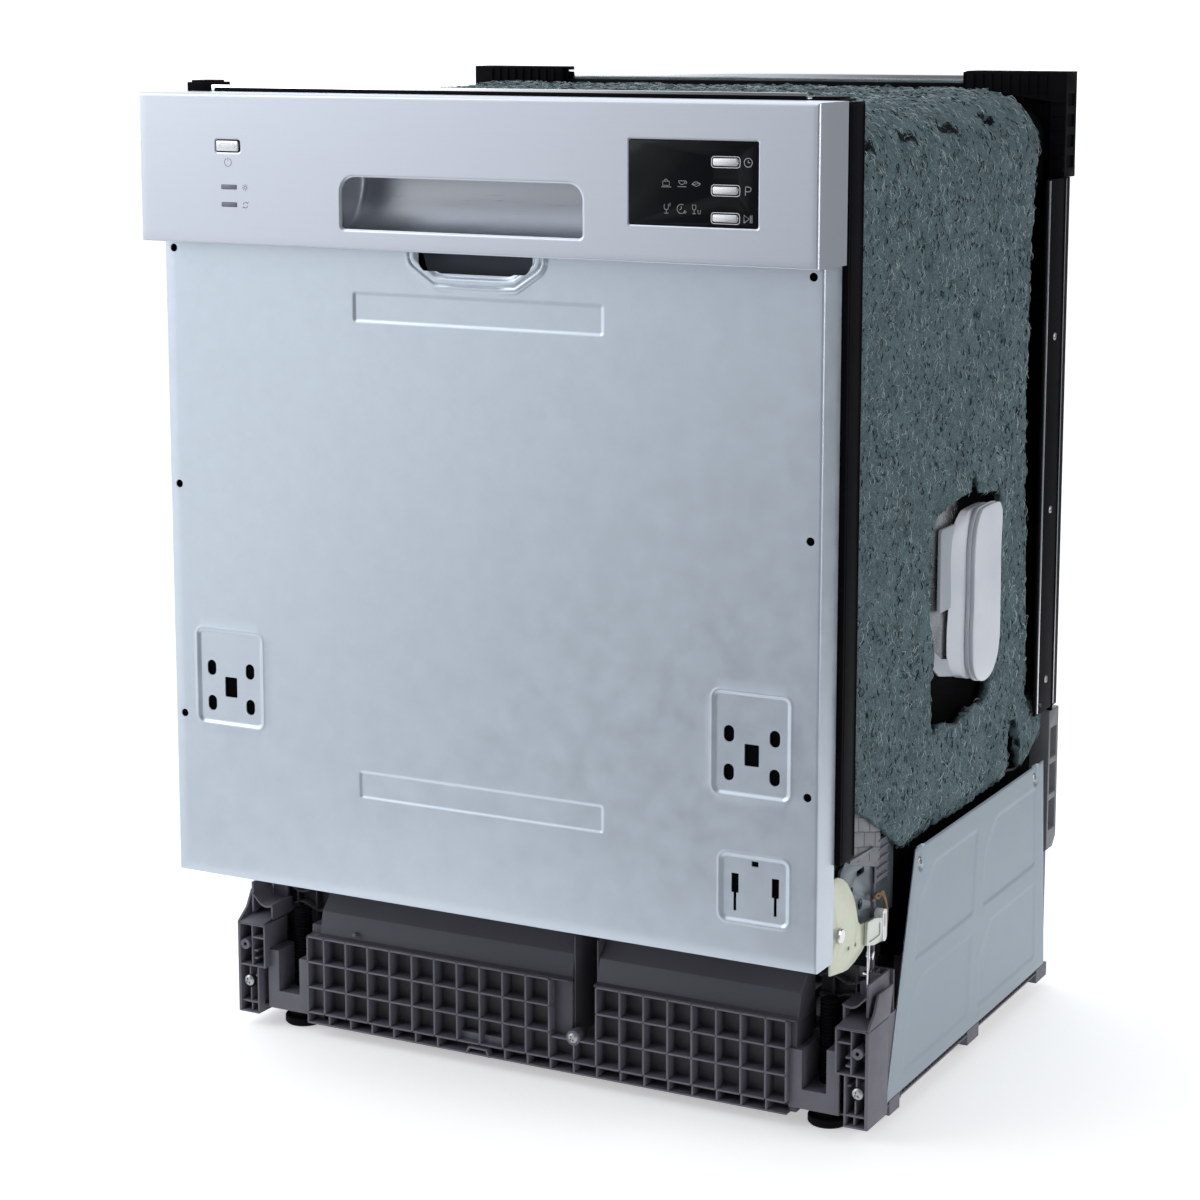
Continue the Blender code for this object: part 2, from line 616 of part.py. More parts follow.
def build_side_plates():
    for side, word in ((-1, "left"), (1, "right")):
        xs, zs = lines(0.0, 1.0, 7), lines(0.0, 1.0, 7)
        for spot, values in ((1, (0.07, 0.09)), (3, (0.47, 0.45)), (4, (0.53, 0.52)), (6, (0.93, 0.90))):
            xs[spot], zs[spot] = values
        bm = bmesh.new()
        mesh_grid(bm, [u * 1000 for u in xs], [v * 1000 for v in zs], 0)
        areas = []
        for u0, u1 in ((70, 470), (530, 930)):
            for v0, v1 in ((90, 450), (520, 900)):
                areas.append((u0, u1, v0, v1))
        panels = [faces_between(bm, *area) for area in areas]
        for vert in bm.verts:
            u, v = vert.co.x, vert.co.z
            front, rear = 156 + (212 - 156) * v, 541 + (525.6 - 541) * v
            vert.co = metres(side * HALF_WIDTH, front + (rear - front) * u, 20.6 + (217 - 20.6) * v)
        bmesh.ops.recalc_face_normals(bm, faces=bm.faces)
        if bm.faces[:][0].normal.x * side < 0:
            bmesh.ops.reverse_faces(bm, faces=bm.faces)
        for faces in panels:
            bmesh.ops.inset_region(bm, faces=faces, thickness=5 * MM, depth=-1.5 * MM,
                                   use_even_offset=True, use_boundary=True)
        bmesh.ops.dissolve_limit(bm, angle_limit=0.01, verts=bm.verts, edges=bm.edges)
        plate = from_bmesh("side_plate_" + word, bm, "galvanised", outward=False)
        solidify(plate, SHEET)


def build_breather():
    shape = rounded(338, 404, 323, 474, (32, 32, 8, 24), steps=4)
    body = outline("breather", [shape], "X", 277.0, 297.8, "white")
    ring = rounded(304, 372, 336, 466, (20, 20, 6, 6), steps=2)
    boolean(body, outline("breather_back", [ring], "X", 276.6, 282.0, None), "UNION")


def build_rails():
    for side, word in ((-1, "left"), (1, "right")):
        a, b, c = side * 274.2, side * 272.6, side * 264.0
        shape = [(a, 566), (c, 566), (c, 561), (side * 265.4, 561), (side * 265.4, 564.6),
                 (b, 564.6), (b, 545.4), (side * 265.4, 545.4), (side * 265.4, 549), (c, 549),
                 (c, 544), (a, 544)]
        outline("rack_rail_" + word, [shape], "Y", 84, 520, "stainless")


# ---------------------------------------------------------------- base

def base_plan(inset, y0):
    x = BASE_X - inset
    nose = 268.0 - inset
    return [(-nose, y0 + inset), (nose, y0 + inset), (nose, 154.0 + inset), (x, 158.0 + inset),
            (x, BASE_Y1 - inset), (-x, BASE_Y1 - inset), (-x, 158.0 + inset),
            (-nose, 154.0 + inset)]


def flat_plan(points):
    return [(x, y - DEPTH / 2) for x, y in points]


def build_base():
    tray = outline("base_tray", [flat_plan(base_plan(0, BASE_Y0))], "Z", BASE_Z0, BASE_Z1, "grey")
    tray.data.transform(Matrix.Translation((0, DEPTH / 2 * MM, 0)))
    hollow = outline("base_hollow", [flat_plan(base_plan(BASE_WALL, BASE_Y0))], "Z",
                     BASE_Z0 + BASE_WALL, BASE_Z1 + 5, None)
    hollow.data.transform(Matrix.Translation((0, DEPTH / 2 * MM, 0)))
    boolean(tray, hollow)
    bm = bmesh.new()
    add_box(bm, -300, 300, 110, 150, 92, 140)
    for side in (-1, 1):
        add_box(bm, side * 252 - 12, side * 252 + 12, 120, 132, 34, 73)
        for y in (FOOT_FRONT_Y, FOOT_REAR_Y):
            add_drum(bm, (side * FOOT_X, y, 0), 10.5, BASE_Z0 - 3, BASE_Z0 + 8, "Z", 12)
    add_drum(bm, (-218, 0, 72), 16.0, BASE_Y1 - 10, BASE_Y1 + 6, "Y", 16)
    boolean(tray, from_bmesh("base_openings", bm, None))
    slope = [(BASE_Y0 + 0.5, 88), (146, 127), (149, 127), (BASE_Y0 + 2.5, 86)]
    boolean(tray, outline("base_slope", [slope], "X", -232, 232, None), "UNION")
    rows = [12.5, 22, 44.7, 67.4, 90.2]
    bm = bmesh.new()
    waffle(bm, lines(-227.6, 11.8, 11), rows, GRID_Y, BASE_Y0 + 0.6, 2.6, 6.5)
    waffle(bm, lines(56.0, 227.5, 8), rows, GRID_Y, BASE_Y0 + 0.6, 2.6, 6.5)
    boolean(tray, from_bmesh("base_grid", bm, None), "UNION")


def build_base_columns():
    for side, word in ((-1, "left"), (1, "right")):
        x0, x1 = sorted((side * 271.5, side * HALF_WIDTH))
        bm = bmesh.new()
        waffle(bm, lines(x0, x1, 1), [12, 32, 53, 73, 94], 115.0, 152.0, 3.0, 9.0)
        column = from_bmesh("base_column_" + word, bm, "grey")
        bm = bmesh.new()
        add_drum(bm, (side * 285.5, 0, 84), 7.0, 112.0, 126.0, "Y", 12)
        boolean(column, from_bmesh("column_boss_" + word, bm, None), "UNION")


def foot(name, side, y):
    profile = [(0, 104), (8, 104), (8, 9), (11, 8.6), (17, 7), (17, 1.5), (15.5, 0), (0, 0)]
    turned(name, profile, (side * FOOT_X, y, 0), "black", sides=12)


def build_feet():
    for side, word in ((-1, "left"), (1, "right")):
        foot("foot_front_" + word, side, FOOT_FRONT_Y)
        foot("foot_rear_" + word, side, FOOT_REAR_Y)


# ---------------------------------------------------------------- works under the tub

def build_water_works():
    bowl = [(0, 106), (66, 106), (72, 112), (88, 172), (88, 176.4), (101, 176.4), (101, 173),
            (91, 172), (76, 108), (70, 100), (0, 100)]
    turned("sump", bowl, (SUMP_X, SUMP_Y, 0), "grey", sides=20)
    bm = bmesh.new()
    add_drum(bm, (SUMP_X, SUMP_Y, 0), 90.4, 177.0, 179.0, "Z", 24)
    plate = from_bmesh("filter_plate", bm, "stainless")
    bm = bmesh.new()
    add_drum(bm, (FILTER_X, FILTER_Y, 0), FILTER_R + 1, 170, 185, "Z", 16)
    add_drum(bm, (ARM_X, ARM_Y, 0), 13, 170, 185, "Z", 12)
    boolean(plate, from_bmesh("filter_plate_openings", bm, None))
    cup = [(0, 116), (FILTER_R - 4, 116), (FILTER_R - 2, 186), (FILTER_R, 186), (FILTER_R, 181),
           (FILTER_R - 1, 112), (0, 112)]
    turned("filter_cup", cup, (FILTER_X, FILTER_Y, 0), "grey", sides=16)
    drums("circulation_pump", [
        {"centre": (0, 330, 95), "radius": 38, "lo": 140, "hi": 240, "axis": "X", "sides": 16}],
        "grey")
    pump = boxes("drain_pump", [(-85, -60, 300, 350, 70, 130)], "black", bevel=2.0)
    boolean(pump, boxes("drain_motor", [(-120, -83, 312, 338, 86, 114)], None, bevel=2.0), "UNION")
    boxes("softener_tank", [(-262, -130, 190, 420, 30, 155)], "white", bevel=6.0)
    valve = boxes("inlet_valve", [(-236, -200, 505, 548, 48, 96)], "white", bevel=1.5)
    thread = drums("inlet_thread", [
        {"centre": (-218, 0, 72), "radius": 13, "lo": 546, "hi": 569, "axis": "Y", "sides": 16}],
        None, smooth=False)
    boolean(valve, thread, "UNION")


def build_spray_arms():
    for name, x, y, z, reach in (("lower_spray_arm", ARM_X, ARM_Y, 197.0, 216.0),
                                 ("upper_spray_arm", ARM_X, ARM_Y, 478.0, 205.0)):
        blade = [(-reach, -16), (-reach + 12, -24), (-60, -24), (60, -17), (reach - 12, -17),
                 (reach, -8), (reach, 16), (reach - 12, 24), (60, 24), (-60, 17),
                 (-reach + 12, 17), (-reach, 8)]
        arm = outline(name, [blade], "Z", z, z + 12, "stainless")
        arm.data.transform(Matrix.Translation((x * MM, y * MM, 0)))
        arm.data.transform(Matrix.Translation(-metres(x, y, z)))
        arm.location = metres(x, y, z)
        bm = bmesh.new()
        add_drum(bm, (x, y, 0), 11.0, z - 9, z + 4, "Z", 12)
        boolean(arm, from_bmesh(name + "_hub", bm, None), "UNION")


def build_feed_pipe():
    run = [(0, 411.5, 186), (0, 530, 186), (0, 530, 785), (0, 330, 785)]
    tube("feed_pipe", [run], 8.0, "white", resolution=1)


# ---------------------------------------------------------------- racks

def wire_rack(name, x, y0, y1, z0, z1, columns, rows, pivot):
    """A welded wire basket: an open box of wires, one along every line of its grid."""
    bm = bmesh.new()
    bmesh.ops.create_grid(bm, x_segments=columns, y_segments=rows, size=1.0)
    for vert in bm.verts:
        vert.co = metres(x * vert.co.x, (y0 + y1) / 2 + (y1 - y0) / 2 * vert.co.y, z0)
    border = [edge for edge in bm.edges if edge.is_boundary]
    made = bmesh.ops.extrude_edge_only(bm, edges=border)["geom"]
    for vert in [item for item in made if isinstance(item, bmesh.types.BMVert)]:
        vert.co.z = z1 * MM
    rack = from_bmesh(name, bm, "coated_wire", pivot=pivot)
    wires = rack.modifiers.new("wires", "WIREFRAME")
    wires.thickness = 2 * WIRE * MM
    wires.offset = 0.0
    wires.use_even_offset = True
    wires.use_boundary = True


def build_racks():
    wire_rack("upper_rack", *UPPER_RACK, 7, 5, (0, 300, 550))
    wire_rack("lower_rack", *LOWER_RACK, 7, 5, (0, 300, 270))
    for end, y in zip(("front", "rear"), WHEEL_Y):
        for side, word in ((-1, "left"), (1, "right")):
            lo, hi = sorted((side * 238.0, side * 248.0))
            drums("rack_wheel_" + end + "_" + word, [
                {"centre": (0, y, WHEEL_Z), "radius": WHEEL_R, "lo": lo, "hi": hi, "axis": "X"}],
                "white", pivot=(side * 243, y, WHEEL_Z))


def build_cutlery_basket():
    bm = bmesh.new()
    add_box(bm, 96, 232, 116, 190, 226.5, 320)
    basket = from_bmesh("cutlery_basket", bm, "grey", pivot=(164, 153, 226.5))
    bm = bmesh.new()
    for i in range(4):
        x = 98 + 33.5 * i
        add_box(bm, x, x + 31.5, 118, 188, 228.5, 330)
    boolean(basket, from_bmesh("basket_pockets", bm, None))


build_control_panel()
build_handle_cup()
build_control_window()
build_keys()
build_lenses()
build_outer_panel()
build_liner()
build_dispenser()
build_door_inside()
build_hinges()
build_tub()
build_felt()
build_side_strips()
build_side_plates()
build_breather()
build_rails()
build_base()
build_base_columns()
build_feet()
build_water_works()
build_spray_arms()
build_feed_pipe()
build_racks()
build_cutlery_basket()
bpy.context.view_layer.update()
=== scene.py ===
"""Built-in dishwasher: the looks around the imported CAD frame."""
import bisect
import itertools
import math
import random

import bmesh
import bpy
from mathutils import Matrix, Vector, noise


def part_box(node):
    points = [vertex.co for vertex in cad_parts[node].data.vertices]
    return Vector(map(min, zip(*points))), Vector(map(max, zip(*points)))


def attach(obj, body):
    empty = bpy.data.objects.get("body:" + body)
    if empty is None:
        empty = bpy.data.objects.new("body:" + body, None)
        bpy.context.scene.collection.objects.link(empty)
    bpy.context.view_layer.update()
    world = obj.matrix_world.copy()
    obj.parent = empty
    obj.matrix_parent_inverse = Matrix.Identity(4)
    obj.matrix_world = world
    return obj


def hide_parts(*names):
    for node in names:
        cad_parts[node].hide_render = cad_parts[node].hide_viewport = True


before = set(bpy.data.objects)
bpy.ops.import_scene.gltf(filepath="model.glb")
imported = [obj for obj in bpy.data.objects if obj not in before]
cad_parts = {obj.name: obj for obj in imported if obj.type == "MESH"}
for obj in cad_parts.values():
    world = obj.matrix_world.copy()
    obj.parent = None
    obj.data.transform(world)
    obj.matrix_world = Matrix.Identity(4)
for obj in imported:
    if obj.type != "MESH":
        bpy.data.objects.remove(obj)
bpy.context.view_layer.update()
MM = 0.001
HALF_DEPTH = 285.0
SIDES = ((-1, "left"), (1, "right"))


def at(x, y, z):
    """A point in millimetres: X across, Y back from the panel's front face, Z from the floor."""
    return Vector((x * MM, (y - HALF_DEPTH) * MM, z * MM))


# ------------------------------------------------------------------ camera, light, floor

# Solved from the edges of the control panel, the door sheet and the base.
CAMERA_PLACE, CAMERA_YAW, CAMERA_PITCH = (1.1023, -2.1583, 0.8840), 0.4824, 0.1630
CAMERA_LENS, CAMERA_SENSOR, CAMERA_SHIFT = 85.48, 36.0, -0.10

# Each light's place, target, width and height in metres, and power in watts.
LIGHTS = {
    "key": ((-2.3, -1.9, 1.9), (0, 0, 0.5), (1.6, 2.0), 24),
    "side": ((2.7, 0.2, 1.3), (0.2, 0, 0.4), (1.4, 2.0), 30),
    "edge": ((2.35, -1.2, 0.75), (0.3, -0.25, 0.5), (0.3, 1.9), 9),
    "top": ((0.4, -0.4, 2.9), (0, 0, 0.4), (2.0, 2.0), 3.6),
}

# The sky is brighter towards this direction; its strength follows the dot product with it.
SKY_COLOUR, SKY_TOWARDS = (0.93, 0.965, 1.0, 1.0), (-0.95, 0.25, 0.12)
SKY_RANGE = {"From Min": 0.02, "From Max": 0.36, "To Min": 0.20, "To Max": 1.42}
FLOOR_HALF = 14.0


def linked(name, data):
    obj = bpy.data.objects.new(name, data)
    bpy.context.scene.collection.objects.link(obj)
    return obj


def aimed(obj, place, look):
    """Puts a camera or light at a place, facing along a direction."""
    obj.location = place
    obj.rotation_mode = "QUATERNION"
    obj.rotation_quaternion = look.to_track_quat("-Z", "Y")
    return obj


def make_camera():
    data = bpy.data.cameras.new("camera")
    data.lens, data.sensor_width, data.shift_y = CAMERA_LENS, CAMERA_SENSOR, CAMERA_SHIFT
    level = math.cos(CAMERA_PITCH)
    look = Vector((-math.sin(CAMERA_YAW) * level, math.cos(CAMERA_YAW) * level,
                   -math.sin(CAMERA_PITCH)))
    bpy.context.scene.camera = aimed(linked("camera", data), CAMERA_PLACE, look)


def area_light(name, place, target, size, power):
    data = bpy.data.lights.new(name, "AREA")
    data.shape, data.energy = "RECTANGLE", power
    data.size, data.size_y = size
    aimed(linked(name, data), place, Vector(target) - Vector(place))


def make_studio():
    """Sky, soft lights and floor."""
    bpy.context.scene.view_settings.view_transform = "Standard"
    world = bpy.data.worlds.new("studio")
    world.use_nodes = True
    nodes, links = world.node_tree.nodes, world.node_tree.links
    background = nodes["Background"]
    background.inputs["Color"].default_value = SKY_COLOUR
    across = nodes.new("ShaderNodeVectorMath")
    across.operation = "DOT_PRODUCT"
    across.inputs[1].default_value = SKY_TOWARDS
    glow = nodes.new("ShaderNodeMapRange")
    for key, value in SKY_RANGE.items():
        glow.inputs[key].default_value = value
    links.new(nodes.new("ShaderNodeTexCoord").outputs["Generated"], across.inputs[0])
    links.new(across.outputs["Value"], glow.inputs["Value"])
    links.new(glow.outputs[0], background.inputs["Strength"])
    bpy.context.scene.world = world
    for name, settings in LIGHTS.items():
        area_light(name, *settings)
    bm = bmesh.new()
    bmesh.ops.create_grid(bm, x_segments=1, y_segments=1, size=FLOOR_HALF)
    floor = linked("studio_floor", mesh_from(bm, "studio_floor", recalculate=False))
    floor.data.materials.append(floor_paint())


def floor_paint():
    """A white sweep that falls off to grey in front of the machine and to its right: painted light
    and shade, with a painted glow on the white part.
    """
    p = Paint("studio_floor").set(Roughness=0.8, Emission_Color=(1, 1, 1, 1))

    def along(direction):
        made = p.node("VectorMath", {0: p.coords, 1: direction}, operation="DOT_PRODUCT")
        return made.outputs["Value"]
    near = p.range(along((-0.52, 1, 0)), -0.84, -0.47)
    right = p.range(along((1, 0.28, 0)), 1.35, 0.85)
    left = p.range(along((-0.95, 0.25, 0)), 0.1, 1.0)
    corner = p.range(along((-0.761, -0.648, 0)), 1.1, 0.62)

    def pick(first, second, operation):
        return p.node("Math", {0: first, 1: second}, operation=operation).outputs[0]
    white = pick(pick(pick(near, right, "MINIMUM"), corner, "MINIMUM"), left, "MAXIMUM")
    # Painted light and shade: white and glowing where the floor stands for lit ground, grey and
    # dimmer in front of the machine and to its right.
    p.colour(p.mix(white, (0.26, 0.27, 0.28), (0.86, 0.86, 0.86)))
    p.tree.links.new(p.range(white, 0, 1, 0.03, 0.42), p.shader.inputs["Emission Strength"])
    return p.material


# ------------------------------------------------------------------ materials

class Paint:
    """A Principled material that is built up in steps, all in object space and metres."""

    def __init__(self, name):
        self.material = bpy.data.materials.new(name)
        self.material.use_nodes = True
        self.tree = self.material.node_tree
        self.shader = self.tree.nodes["Principled BSDF"]
        self.coords = self.tree.nodes.new("ShaderNodeTexCoord").outputs["Object"]
        self.last_normal = None

    def set(self, **settings):
        for key, value in settings.items():
            self.shader.inputs[key.replace("_", " ")].default_value = value
        return self

    def node(self, kind, inputs=None, **settings):
        made = self.tree.nodes.new("ShaderNode" + kind)
        for key, value in settings.items():
            setattr(made, key, value)
        for key, value in (inputs or {}).items():
            if hasattr(value, "is_output"):
                self.tree.links.new(value, made.inputs[key])
            else:
                made.inputs[key].default_value = value
        return made

    def noise(self, scale, detail=3.0, rough=0.55, stretch=None, distortion=0.0):
        vector = self.coords
        if stretch:
            vector = self.node("Mapping", {"Vector": vector, "Scale": stretch}).outputs[0]
        made = self.node("TexNoise", {"Vector": vector, "Scale": scale, "Detail": detail,
                                      "Roughness": rough, "Distortion": distortion})
        return made.outputs["Fac"]

    def cells(self, scale):
        return self.node("TexVoronoi", {"Vector": self.coords, "Scale": scale}).outputs["Distance"]

    def range(self, value, low, high, to_low=0.0, to_high=1.0):
        return self.node("MapRange", {"Value": value, "From Min": low, "From Max": high,
                                      "To Min": to_low, "To Max": to_high}).outputs[0]

    def mix(self, factor, first, second):
        made = self.node("Mix", data_type="RGBA")
        for index, value in ((0, factor), (6, first), (7, second)):
            if hasattr(value, "is_output"):
                self.tree.links.new(value, made.inputs[index])
            elif index:
                made.inputs[index].default_value = (*value, 1.0)
            else:
                made.inputs[0].default_value = value
        return made.outputs[2]

    def colour(self, socket):
        self.tree.links.new(socket, self.shader.inputs["Base Color"])
        return self

    def roughness(self, socket):
        self.tree.links.new(socket, self.shader.inputs["Roughness"])
        return self

    def bump(self, height, strength, distance):
        inputs = {"Height": height, "Strength": strength, "Distance": distance}
        if self.last_normal is not None:
            inputs["Normal"] = self.last_normal
        self.last_normal = self.node("Bump", inputs).outputs[0]
        self.tree.links.new(self.last_normal, self.shader.inputs["Normal"])
        return self


def scaled(colour, factor):
    return tuple(min(1.0, c * factor) for c in colour)


def brushed_metal(name, base, rough, stretch, variation=0.06, strength=0.12):
    """Sheet metal with fine lines along one direction, cloudy tone and faint handling marks."""
    p = Paint(name).set(Metallic=1.0, Anisotropic=0.35)
    lines = p.noise(1.0, 5.0, 0.7, stretch=stretch)
    cloud = p.noise(3.0, 3.0, 0.6)
    dark, light = scaled(base, 1 - variation), scaled(base, 1 + variation)
    tone = p.mix(p.range(lines, 0.3, 0.7), dark, light)
    p.colour(p.mix(p.range(cloud, 0.35, 0.65, 0.0, 0.5), tone, scaled(base, 0.97)))
    p.roughness(p.range(lines, 0.25, 0.75, rough - 0.05, rough + 0.07))
    return p.bump(lines, strength, 0.0002)


def zinc_sheet(name, base, rough):
    """Galvanised sheet with a satin skin: soft mottling, rolling lines and small pits."""
    p = Paint(name).set(Metallic=0.75)
    mottle = p.noise(55.0, 4.0, 0.6)
    rolling = p.noise(1.0, 3.0, 0.6, stretch=(4.0, 4.0, 260.0))
    cloud = p.noise(2.2, 2.0, 0.5)
    tone = p.mix(p.range(mottle, 0.3, 0.7), scaled(base, 0.965), scaled(base, 1.03))
    p.colour(p.mix(p.range(cloud, 0.3, 0.7, 0.0, 0.35), tone, scaled(base, 0.94)))
    p.roughness(p.range(mottle, 0.25, 0.75, rough - 0.05, rough + 0.08))
    p.bump(rolling, 0.05, 0.0002)
    return p.bump(p.noise(420.0, 2.0, 0.5), 0.05, 0.0001)


def moulded(name, base, rough, grain=900.0, strength=0.12, vary=0.12, **more):
    """Moulded plastic: fine spark-eroded grain, flow clouds and slightly rubbed patches."""
    p = Paint(name).set(**more)
    fine = p.noise(grain, 2.0, 0.6)
    cloud = p.noise(14.0, 4.0, 0.6)
    p.colour(p.mix(p.range(cloud, 0.3, 0.7), scaled(base, 1 - vary), scaled(base, 1 + vary)))
    p.roughness(p.range(cloud, 0.3, 0.7, rough - 0.05, rough + 0.08))
    return p.bump(fine, strength, 0.0002)


def speckled_grey(name):
    """Recycled grey plastic with a faint violet cast, moulding grain and lighter dusty patches."""
    p = Paint(name)
    cloud = p.noise(9.0, 5.0, 0.65)
    dust = p.noise(60.0, 4.0, 0.7)
    fine = p.noise(1100.0, 2.0, 0.6)
    base = p.mix(p.range(cloud, 0.3, 0.7), (0.098, 0.095, 0.120), (0.124, 0.120, 0.149))
    p.colour(p.mix(p.range(dust, 0.58, 0.8, 0.0, 0.25), base, (0.15, 0.148, 0.175)))
    p.roughness(p.range(dust, 0.3, 0.7, 0.50, 0.66))
    return p.bump(fine, 0.18, 0.0002)


def felt_paint(name):
    """Recycled fibre batt: matted green-grey fibres with pale and dark strands through it, and
    painted highlight and shade on the raised tufts and in the hollows of its bump.
    """
    p = Paint(name).set(Sheen_Weight=0.06, Sheen_Roughness=0.6, Specular_IOR_Level=0.15,
                        Roughness=0.95)
    patch = p.noise(38.0, 5.0, 0.65, distortion=0.6)
    mat = p.noise(210.0, 5.0, 0.75, distortion=1.5)
    strand = p.noise(330.0, 2.0, 0.5, stretch=(1.0, 0.35, 1.6), distortion=3.0)
    base = p.mix(p.range(patch, 0.40, 0.60), (0.038, 0.072, 0.083), (0.090, 0.150, 0.170))
    # Painted highlight and shade: the mat noise also bumps the surface, so its raised tufts are
    # made lighter and its hollows near black.
    base = p.mix(p.range(mat, 0.42, 0.66), base, (0.15, 0.215, 0.235))
    base = p.mix(p.range(mat, 0.44, 0.30, 0.0, 0.85), base, (0.014, 0.025, 0.031))
    flecks = p.cells(170.0)
    base = p.mix(p.range(flecks, 0.14, 0.05, 0.0, 0.6), base, (0.36, 0.44, 0.46))
    grain = p.noise(1.0, 3.0, 0.6, stretch=(1300.0, 1300.0, 480.0), distortion=1.2)
    base = p.mix(p.range(grain, 0.56, 0.72, 0.0, 0.5), base, (0.24, 0.32, 0.34))
    base = p.mix(p.range(grain, 0.44, 0.28, 0.0, 0.7), base, (0.02, 0.036, 0.042))
    p.colour(p.mix(p.range(strand, 0.66, 0.72, 0.0, 0.6), base, (0.40, 0.48, 0.50)))
    p.bump(mat, 0.9, 0.003)
    return p.bump(strand, 0.5, 0.0015)


def passivated(name):
    """Zinc plate with the pale green-yellow passivation and its cloudy colour shifts."""
    p = Paint(name).set(Metallic=0.55)
    cloud = p.noise(45.0, 3.0, 0.6, distortion=1.0)
    tone = p.mix(p.range(cloud, 0.35, 0.65), (0.52, 0.58, 0.44), (0.62, 0.62, 0.50))
    p.colour(p.mix(p.range(p.noise(90.0, 2.0), 0.5, 0.75, 0.0, 0.35), tone, (0.60, 0.55, 0.60)))
    p.roughness(p.range(cloud, 0.3, 0.7, 0.28, 0.40))
    return p.bump(p.noise(500.0, 2.0), 0.08, 0.0001)


def clouded_white(name):
    """Milky natural polypropylene that lets some light through."""
    p = Paint(name).set(Transmission_Weight=0.08, IOR=1.49, Subsurface_Weight=0.15,
                        Subsurface_Radius=(0.02, 0.02, 0.02), Subsurface_Scale=0.3)
    cloud = p.noise(16.0, 3.0, 0.5)
    p.colour(p.mix(p.range(cloud, 0.3, 0.7), (0.60, 0.635, 0.70), (0.70, 0.73, 0.79)))
    p.roughness(p.range(cloud, 0.3, 0.7, 0.32, 0.42))
    return p.bump(p.noise(60.0, 2.0), 0.03, 0.0003)


def make_materials():
    m = {}
    m["panel"] = brushed_metal("panel_stainless", (0.60, 0.628, 0.70), 0.36,
                               (14.0, 1500.0, 1500.0), 0.022, 0.05)
    m["stainless"] = brushed_metal("tub_stainless", (0.62, 0.62, 0.63), 0.24, (6.0, 500.0, 500.0))
    m["polished"] = brushed_metal("polished_stainless", (0.72, 0.72, 0.74), 0.12,
                                  (8.0, 700.0, 700.0))
    m["zinc"] = zinc_sheet("galvanised_sheet", (0.58, 0.64, 0.715), 0.36)
    m["side_zinc"] = zinc_sheet("galvanised_side", (0.33, 0.385, 0.435), 0.5)
    m["green"] = passivated("passivated_plate")
    m["dark_steel"] = brushed_metal("dark_steel", (0.16, 0.16, 0.17), 0.32, (40.0, 300.0, 300.0))
    m["black"] = moulded("black_plastic", (0.006, 0.006, 0.0075), 0.5, 700.0, 0.10, 0.3,
                         Specular_IOR_Level=0.02)
    m["gloss"] = moulded("gloss_black", (0.0065, 0.007, 0.0085), 0.13, 300.0, 0.008, 0.1,
                         Specular_IOR_Level=0.10)
    m["grey"] = speckled_grey("grey_plastic")
    m["rack_grey"] = moulded("rack_plastic", (0.20, 0.21, 0.23), 0.45)
    m["white"] = moulded("white_plastic", (0.72, 0.73, 0.75), 0.38, vary=0.04)
    m["milky"] = clouded_white("milky_plastic")
    m["felt"] = felt_paint("recycled_felt")
    m["wire"] = moulded("coated_wire", (0.36, 0.39, 0.44), 0.30, 500.0, 0.05, 0.06)
    m["rubber"] = moulded("rubber_seal", (0.06, 0.06, 0.065), 0.62, 800.0, 0.2)
    m["key"] = brushed_metal("silver_key", (0.70, 0.70, 0.72), 0.25, (60.0, 700.0, 700.0), 0.03,
                             0.05)
    m["cup"] = brushed_metal("recess_silver", (0.66, 0.68, 0.72), 0.30, (20.0, 900.0, 900.0),
                             0.015, 0.03)
    m["lens"] = moulded("smoked_lens", (0.20, 0.19, 0.27), 0.14, 400.0, 0.02, 0.05)
    m["blue"] = moulded("blue_plastic", (0.08, 0.19, 0.46), 0.35)
    m["print"] = moulded("panel_print", (0.10, 0.10, 0.11), 0.5, 600.0, 0.02)
    m["icon"] = moulded("window_print", (0.42, 0.42, 0.43), 0.5, 600.0, 0.02)
    # Near-black painted shadow for holes, gaps and hollows where there is only shade.
    m["painted_shadow"] = moulded("deep_shadow", (0.003, 0.003, 0.0035), 0.8, 500.0, 0.1, 0.3,
                        Specular_IOR_Level=0.02)
    m["shade"] = zinc_sheet("shaded_zinc", (0.16, 0.175, 0.20), 0.5)
    m["nose"] = moulded("shaded_nose", (0.058, 0.057, 0.073), 0.55)
    m["grey_shade"] = moulded("shaded_grey", (0.062, 0.058, 0.066), 0.6)
    m["screw"] = zinc_sheet("screw_zinc", (0.42, 0.43, 0.44), 0.3)
    m["steel"] = zinc_sheet("hinge_steel", (0.17, 0.20, 0.225), 0.34)
    m["lever"] = zinc_sheet("hinge_lever", (0.62, 0.64, 0.60), 0.3)
    m["cover_grey"] = moulded("cover_plastic", (0.15, 0.155, 0.17), 0.5)
    m["breather_grey"] = moulded("breather_rear", (0.33, 0.36, 0.40), 0.4, vary=0.05)
    m["fibre_pale"] = moulded("pale_fibre", (0.66, 0.74, 0.76), 0.7, 400.0, 0.05, 0.25)
    m["fibre_mid"] = moulded("grey_fibre", (0.15, 0.225, 0.25), 0.85, 400.0, 0.05, 0.3)
    m["fibre_dark"] = moulded("dark_fibre", (0.005, 0.009, 0.011), 0.9, 400.0, 0.05, 0.3)
    m["copper"] = moulded("spring_rope", (0.20, 0.12, 0.06), 0.7, 300.0, 0.4)
    return {key: paint.material for key, paint in m.items()}


